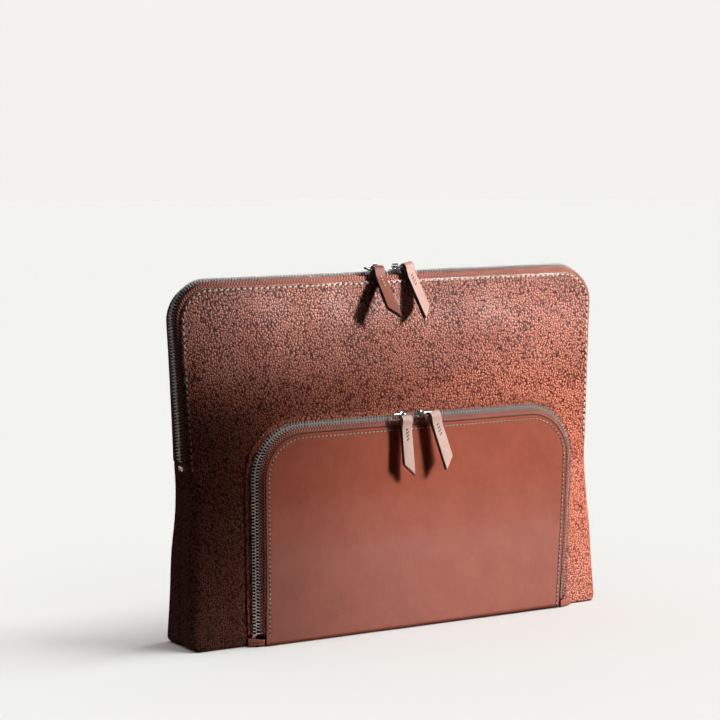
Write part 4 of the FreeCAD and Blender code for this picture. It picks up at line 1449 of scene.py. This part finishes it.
def ring_local():
    b = Builder()
    r = RING_CORNER
    w = RING_HALF
    path = []
    for cx, cz, a0 in ((w - r, -r, 90), (w - r, -RING_LONG + r, 0), (-w + r, -RING_LONG + r, -90), (-w + r, -r, -180)):
        for k in range(9):
            a = math.radians(a0 - 90 * k / 8)
            out = np.array([math.cos(a), 0, math.sin(a)])
            path.append((np.array([cx + r * math.cos(a), 0, cz + r * math.sin(a)]), out))
    section = [(WIRE_R * math.cos(math.tau * k / 14), WIRE_R * math.sin(math.tau * k / 14)) for k in range(14)]
    centres = [p for p, _ in path]
    ups = [u for _, u in path]
    sweep(b, centres, [Y_AXIS] * len(path), ups, section, True)
    return b


def strap_local(tip_side):
    """Leather folded over the ring: one long ribbon from the front tip, over the wire, to the back tip."""
    b = Builder()
    t = STRAP_HALF_THICK
    half = STRAP_WIDE / 2
    ply = t - 0.06
    mid = (LOOP_R + LOOP_HOLE_R) / 2
    wide_cols = 13
    xs = np.linspace(-1, 1, wide_cols)
    # centre line of the ribbon in the strap's side view, as (y, z, share along the straight part or None)
    line = []
    straight = 22
    for k in range(straight + 1):
        f = 1 - k / straight
        line.append((-(t / 2 + 0.03), None, f))
    knee = []
    a0 = math.radians(198)
    for k in range(1, 6):
        f = k / 6
        start = np.array([-(t / 2 + 0.03), -NECK])
        end = np.array([mid * math.cos(a0), mid * math.sin(a0)])
        bend = np.array([-(t / 2 + 0.05) - 0.15, -NECK + 3.0])
        p = (1 - f) ** 2 * start + 2 * f * (1 - f) * bend + f * f * end
        knee.append(p)
    for p in knee:
        line.append((p[0], p[1], None))
    for k in range(0, 21):
        a = math.radians(198 - (198 + 18) * k / 20)
        line.append((mid * math.cos(a), mid * math.sin(a), None))
    for p in reversed(knee):
        line.append((-p[0], p[1], None))
    for k in range(straight + 1):
        line.append((t / 2 + 0.03, None, k / straight))
    n = len(line)

    def centre(i, x):
        y, z, f = line[i]
        if f is not None:
            tip = tip_side * half
            end = -STRAP_LONG + STRAP_CUT * (tip - x) / (2 * tip)
            z = -NECK + (end + NECK) * f
        return np.array([x, y, z])

    mids = np.array([centre(i, 0.0)[1:] for i in range(n)])
    tangent = np.gradient(mids, axis=0)
    tangent /= np.linalg.norm(tangent, axis=1)[:, None]
    normal = np.stack([-tangent[:, 1], tangent[:, 0]], 1)
    round_edge = 0.28
    # section round the ribbon: outer face, edge, inner face, edge
    section = []
    for k in range(wide_cols):
        section.append((xs[k] * (half - round_edge), 1.0, 0))
    for a in (65, 40, 0, -40, -65):
        section.append((half - round_edge + round_edge * math.cos(math.radians(a)), math.sin(math.radians(a)), 1))
    for k in range(wide_cols - 1, -1, -1):
        section.append((xs[k] * (half - round_edge), -1.0, 2))
    for a in (-65, -40, 0, 40, 65):
        section.append((-half + round_edge - round_edge * math.cos(math.radians(a)), math.sin(math.radians(a)), 1))
    rows, uvs = [], []
    run = lengths_along(mids)
    for i in range(n):
        row, uvr = [], []
        for x, h, _ in section:
            c = centre(i, x)
            thick = ply / 2
            if i in (0, n - 1):
                thick *= 0.8
            row.append(c + np.array([0, normal[i][0], normal[i][1]]) * h * thick)
            uvr.append((x, run[i] + (0 if h > 0 else 3)))
        rows.append(row)
        uvs.append(uvr)
    rows = np.array(rows)
    uvs = np.array(uvs)
    m = len(section)
    faces, marks = [], []
    for i in range(n - 1):
        for j in range(m):
            k = (j + 1) % m
            faces.append((i * m + j, i * m + k, (i + 1) * m + k, (i + 1) * m + j))
            marks.append(0 if (section[j][2] != 1 and section[k][2] != 1) else 1)
    faces.append(tuple(reversed(range(m))))
    marks.append(1)
    faces.append(tuple(range((n - 1) * m, n * m)))
    marks.append(1)
    b.points.append(rows.reshape(-1, 3))
    b.uvs.append(uvs.reshape(-1, 2))
    b.faces += [tuple(reversed(f)) for f in faces]
    b.marks += marks
    b.count += n * m
    return b


def to_world(builder, *frame_axes):
    builder.points = [placed(pts, *frame_axes) for pts in builder.points]
    return builder


def slider_set(name, chain_middle, across, out, pull, strap_material):
    x, shift, yaw, drop, swing, lean, tip_side = pull
    origin = np.array([x, chain_middle[1], chain_middle[2]])
    slider = to_world(slider_local(name.startswith("pocket")), origin, X_AXIS, across, out)
    ob = slider.obj(name + "_slider_metal", [CHROME])
    done(ob, name + "_slider", "zip_metal", name + "_slider")
    yaw, drop, swing, lean = (math.radians(a) for a in (yaw, drop, swing, lean))
    pivot = origin + out * PIVOT_N
    bar = np.array([math.cos(yaw), math.sin(yaw), 0])
    ahead = np.array([math.sin(yaw), -math.cos(yaw), 0])
    ring_down = ahead * math.cos(drop) + np.array([0, 0, -math.sin(drop)])
    ring_up = -ring_down
    ring_centre = pivot + bar * shift
    ring = to_world(ring_local(), ring_centre, bar, np.cross(ring_up, bar), ring_up)
    ob = ring.obj(name + "_ring_wire", [CHROME])
    done(ob, name + "_ring", "zip_metal", name + "_ring")
    far_bar = ring_centre + ring_down * RING_LONG
    hang = ahead * math.sin(swing) + np.array([0, 0, -math.cos(swing)])
    down = hang * math.cos(lean) + bar * math.sin(lean)
    wide = bar * math.cos(lean) - hang * math.sin(lean)
    up = -down
    face = np.cross(up, wide)
    strap = to_world(strap_local(tip_side), far_bar, wide, face, up)
    ob = strap.obj(name + "_strap", [strap_material, PAINT], weld=0.003)
    done(ob, name + "_pull", "pull_leather", name + "_pull")
    b = Builder()
    for i in range(4):
        z = -NECK + 1.2 - i * 2.5
        for side in (-1, 1):
            spot = far_bar + up * z + face * side * (STRAP_HALF_THICK + 0.12 * max(0.0, z + NECK))
            n = face * side
            dash, cross = wide * 0.87 + up * 0.5, up * 0.87 - wide * 0.5
            stamp(b, STITCH * np.array([0.8, 0.95, 0.8]), STITCH_FACES if side < 0 else flipped(STITCH_FACES),
                  spot + n * 0.1, dash, cross, n, STITCH_UV)
            # dark discs at the stitch ends paint the needle holes' shade
            for d in (-1.0, 1.0):
                stamp(b, DISC * 0.9, DISC_FACES if side < 0 else flipped(DISC_FACES),
                      spot + dash * d + n * 0.03, dash, cross, n, mark=1)
    thread_mat = THREAD if name == "main_left" else DARK_THREAD
    ob = b.obj(name + "_strap_stitching", [thread_mat, HOLE_SHADE])
    done(ob, name + "_pull", "thread", name + "_pull_stitching")


MAIN_MIDDLE = np.array([0, 0, PANEL_TOP + float(proud(PANEL_TOP))])
# the main left pull gets the copy with painted shade, the main right the half-lit one
for pull_name, values in MAIN_PULLS.items():
    slider_set(pull_name, MAIN_MIDDLE, Y_AXIS, Z_AXIS, values,
               PULL_SHADED if pull_name == "main_left" else PULL_HALF_LIT)
TOP_S = POCKET_CHAIN.lengths[0] + POCKET_CHAIN.lengths[1] + POCKET_CHAIN.lengths[2] / 2
W_ALONG, W_ACROSS, W_OUT = wall_frame(TOP_S)
POCKET_MIDDLE = wall_point(TOP_S, 0.5)
for pull_name, values in POCKET_PULLS.items():
    slider_set(pull_name, POCKET_MIDDLE, -W_ACROSS, W_OUT, values, PULL)


# ---- floor, light and camera --------------------------------------------------------------------------
PAPER = (0.897, 0.888, 0.856)


def unlit(name, colour, strength):
    """Even glow, for the far wall of the studio."""
    material = bpy.data.materials.new(name)
    material.use_nodes = True
    tree = material.node_tree
    tree.nodes.clear()
    glow = tree.nodes.new("ShaderNodeEmission")
    glow.inputs["Color"].default_value = (*colour, 1)
    glow.inputs["Strength"].default_value = strength
    out = tree.nodes.new("ShaderNodeOutputMaterial")
    tree.links.new(glow.outputs[0], out.inputs[0])
    return material


def studio():
    """Pale paper floor and a far wall of the same tone all round."""
    n = Nodes("studio_paper")
    tone = n.noise(n.place(), 3, 2)
    n.set(Base_Color=n.ramp(tone.outputs["Fac"], [(0.3, (0.783, 0.780, 0.760)), (0.7, (0.787, 0.784, 0.764))]))
    n.bsdf.inputs["Roughness"].default_value = 1.0
    n.bsdf.inputs["Specular IOR Level"].default_value = 0.0
    b = Builder()
    rows = []
    for r in (0.0, 400.0, 1200.0, 3000.0, 9000.0):
        rows.append([(r * math.cos(a), r * math.sin(a), -0.02) for a in np.linspace(0, math.tau, 49)[:-1]])
    rows = np.array(rows)
    b.grid(rows, rows[:, :, :2], wrap_v=True)
    floor = b.obj("studio_floor", [n.material], weld=0.1)
    b = Builder()
    rows = []
    for r, z in ((9000, -0.02), (9000, 2500), (8000, 5000), (5000, 7500), (10, 8500)):
        rows.append([(r * math.cos(a), r * math.sin(a), z) for a in np.linspace(0, math.tau, 49)[:-1]])
    rows = np.array(rows)
    b.grid(rows, rows[:, :, :2], wrap_v=True)
    wall = b.obj("studio_wall", [unlit("studio_glow", PAPER, 1.0)])
    for ob in (floor, wall):
        ob.visible_diffuse = False
        ob.visible_glossy = False
        ob.visible_shadow = False
    return floor, wall


FLOOR, WALL = studio()


def light(name, kind, place, aim, power, colour=(1, 1, 1), size=0.5, size_y=None, only=(), never=()):
    """A studio lamp that may light only some things, or all but some."""
    lamp = bpy.data.lights.new(name, kind)
    lamp.energy = power
    lamp.color = colour
    if kind == "AREA":
        lamp.shape = "RECTANGLE"
        lamp.size = size
        lamp.size_y = size_y or size
    elif kind == "SUN":
        lamp.angle = size
    elif kind == "SPOT":
        lamp.shadow_soft_size = size
    ob = bpy.data.objects.new(name, lamp)
    bpy.context.scene.collection.objects.link(ob)
    ob.location = place
    ob.rotation_euler = (Vector(aim) - Vector(place)).to_track_quat("-Z", "Y").to_euler()
    ob.visible_camera = False
    if only or never:
        group = bpy.data.collections.new(name + "_lights")
        for other in (*only, *never):
            group.objects.link(other)
        ob.light_linking.receiver_collection = group
        for link, other in zip(group.collection_objects, group.objects):
            link.light_linking.link_state = "INCLUDE" if other in only else "EXCLUDE"
    return ob


# the floor has its own even light, so that it stays one tone round the object's shadow
light("floor_sun", "SUN", (0.78, -0.28, 1.4), (0, 0, 0), 2.35, (1.0, 1.053, 1.065), size=0.6, only=(FLOOR,))
light("floor_fill", "SUN", (0.0, 0.0, 1.4), (0, 0, 0), 1.53, (1.0, 0.93, 0.91), size=2.2, only=(FLOOR,))

MESHES = [ob for ob in bpy.data.objects if ob.type == "MESH"]
POCKET_SIDE = [ob for ob in MESHES if ob.name.startswith("pocket_")]
METAL = [ob for ob in MESHES if ob.name.endswith(("_teeth", "_slider_metal", "_ring_wire", "_stops"))]
# one soft lamp high at the right, split into cones so that the front darkens down to the left
KEY = (0.603, -0.673, 0.498)
for cone, aim, half, soft, power, pocket_too in (
        ("key_right", (0.31, -0.015, 0.06), 19, 0.2, 74, False),
        ("key_right_low", (0.20, -0.015, 0.03), 8, 0.2, 150, False),
        ("key_foot_right", (0.19, -0.015, 0.05), 8, 0.08, 24, False),
        ("key_foot_left", (-0.13, -0.015, 0.005), 4, 0.08, 5, False),
        ("key_top_left", (-0.12, -0.015, 0.262), 4.5, 0.03, 30, False),
        ("key_top_a", (-0.04, -0.015, 0.262), 4.6, 0.05, 58, False),
        ("key_top_b", (0.045, -0.015, 0.245), 6, 0.08, 45, False),
        ("key_top_right", (0.145, -0.015, 0.23), 7, 0.08, 42, False),
        ("key_pocket", (0.08, -0.025, 0.04), 16, 0.2, 25, True),
        ("key_pocket_right", (0.13, -0.025, 0.10), 8, 0.2, 152, True),
        ("key_pocket_left", (-0.10, -0.025, 0.06), 8, 0.2, 4, True)):
    tint = (0.97, 1.08, 1.16) if cone == "key_right_low" else (1.0, 0.985, 0.97)
    lamp = light(cone, "SPOT", KEY, aim, power, tint, size=soft,
                 only=POCKET_SIDE if pocket_too else (), never=() if pocket_too else (FLOOR, WALL, *POCKET_SIDE))
    lamp.data.spot_size = math.radians(2 * half)
    lamp.data.spot_blend = 1.0
light("top_box", "AREA", (0.10, -0.45, 0.85), (0.10, 0.0, 0.25), 0.3, (1.0, 0.99, 0.98), size=0.5, size_y=0.3,
      never=(FLOOR, WALL))
light("back_box", "AREA", (0.5, 1.3, 0.7), (0.0, 0.0, 0.12), 10, (1.0, 0.99, 0.98), size=0.8, never=(FLOOR, WALL))
# cards that only the metal mirrors: broad ones for the teeth, dimmer ones for the polished parts
TEETH_SIDE = [ob for ob in METAL if ob.name.endswith(("_teeth", "_stops"))]
BRIGHT = [ob for ob in METAL if ob not in TEETH_SIDE]
WARM = (1.0, 0.95, 0.92)
for card, place, aim, size, size_y, power, ones in (
        ("card_right", (0.9, -0.9, 0.75), (0.0, 0.0, 0.2), 0.7, 0.6, 5.0, TEETH_SIDE),
        ("card_top", (0.55, 0.15, 1.25), (0.0, 0.0, 0.22), 0.8, 0.8, 6.0, TEETH_SIDE),
        ("card_foot", (-0.42, -0.42, 0.02), (-0.12, 0.0, 0.03), 0.22, 0.12, 0.8, TEETH_SIDE),
        ("card_back", (-0.9, 1.1, 0.2), (-0.17, 0.0, 0.17), 0.5, 0.4, 0.9, TEETH_SIDE),
        ("chrome_right", (0.9, -0.9, 0.75), (0.0, 0.0, 0.2), 0.5, 0.6, 0.9, BRIGHT),
        ("chrome_top", (0.1, 0.0, 1.25), (0.0, 0.0, 0.22), 0.5, 0.5, 0.75, BRIGHT),
        ("chrome_left", (-1.3, -0.6, 0.7), (0.0, 0.0, 0.2), 0.3, 0.6, 0.4, BRIGHT),
        ("chrome_strip", (-0.75, -1.15, 0.75), (0.0, 0.0, 0.2), 0.12, 0.7, 0.3, BRIGHT)):
    lamp = light(card, "AREA", place, aim, power, WARM, size=size, size_y=size_y, only=ones)
    lamp.visible_diffuse = False
light("side_fill", "AREA", (-1.2, 0.5, 0.4), (-0.17, 0.0, 0.1), 0.5, (1.0, 0.97, 0.95), size=0.5, never=(FLOOR, WALL))
world = bpy.data.worlds.new("studio")
world.use_nodes = True
world.node_tree.nodes["Background"].inputs[0].default_value = (1.0, 0.995, 0.985, 1)
world.node_tree.nodes["Background"].inputs[1].default_value = 0.012
bpy.context.scene.world = world
bpy.context.scene.view_settings.view_transform = "Standard"

camera = bpy.data.cameras.new("camera")
camera.lens = 116.9
camera.sensor_width = 36.0
camera.clip_start = 0.05
camera.clip_end = 30
cam = bpy.data.objects.new("camera", camera)
bpy.context.scene.collection.objects.link(cam)
cam.location = (-0.8956, -1.4769, 0.3762)
look = Vector((-0.0243, 0.0, 0.1978)) - cam.location
quat = look.to_track_quat("-Z", "Y")
cam.rotation_mode = "QUATERNION"
cam.rotation_quaternion = quat @ Quaternion((0, 0, 1), math.radians(-0.25))
bpy.context.scene.camera = cam
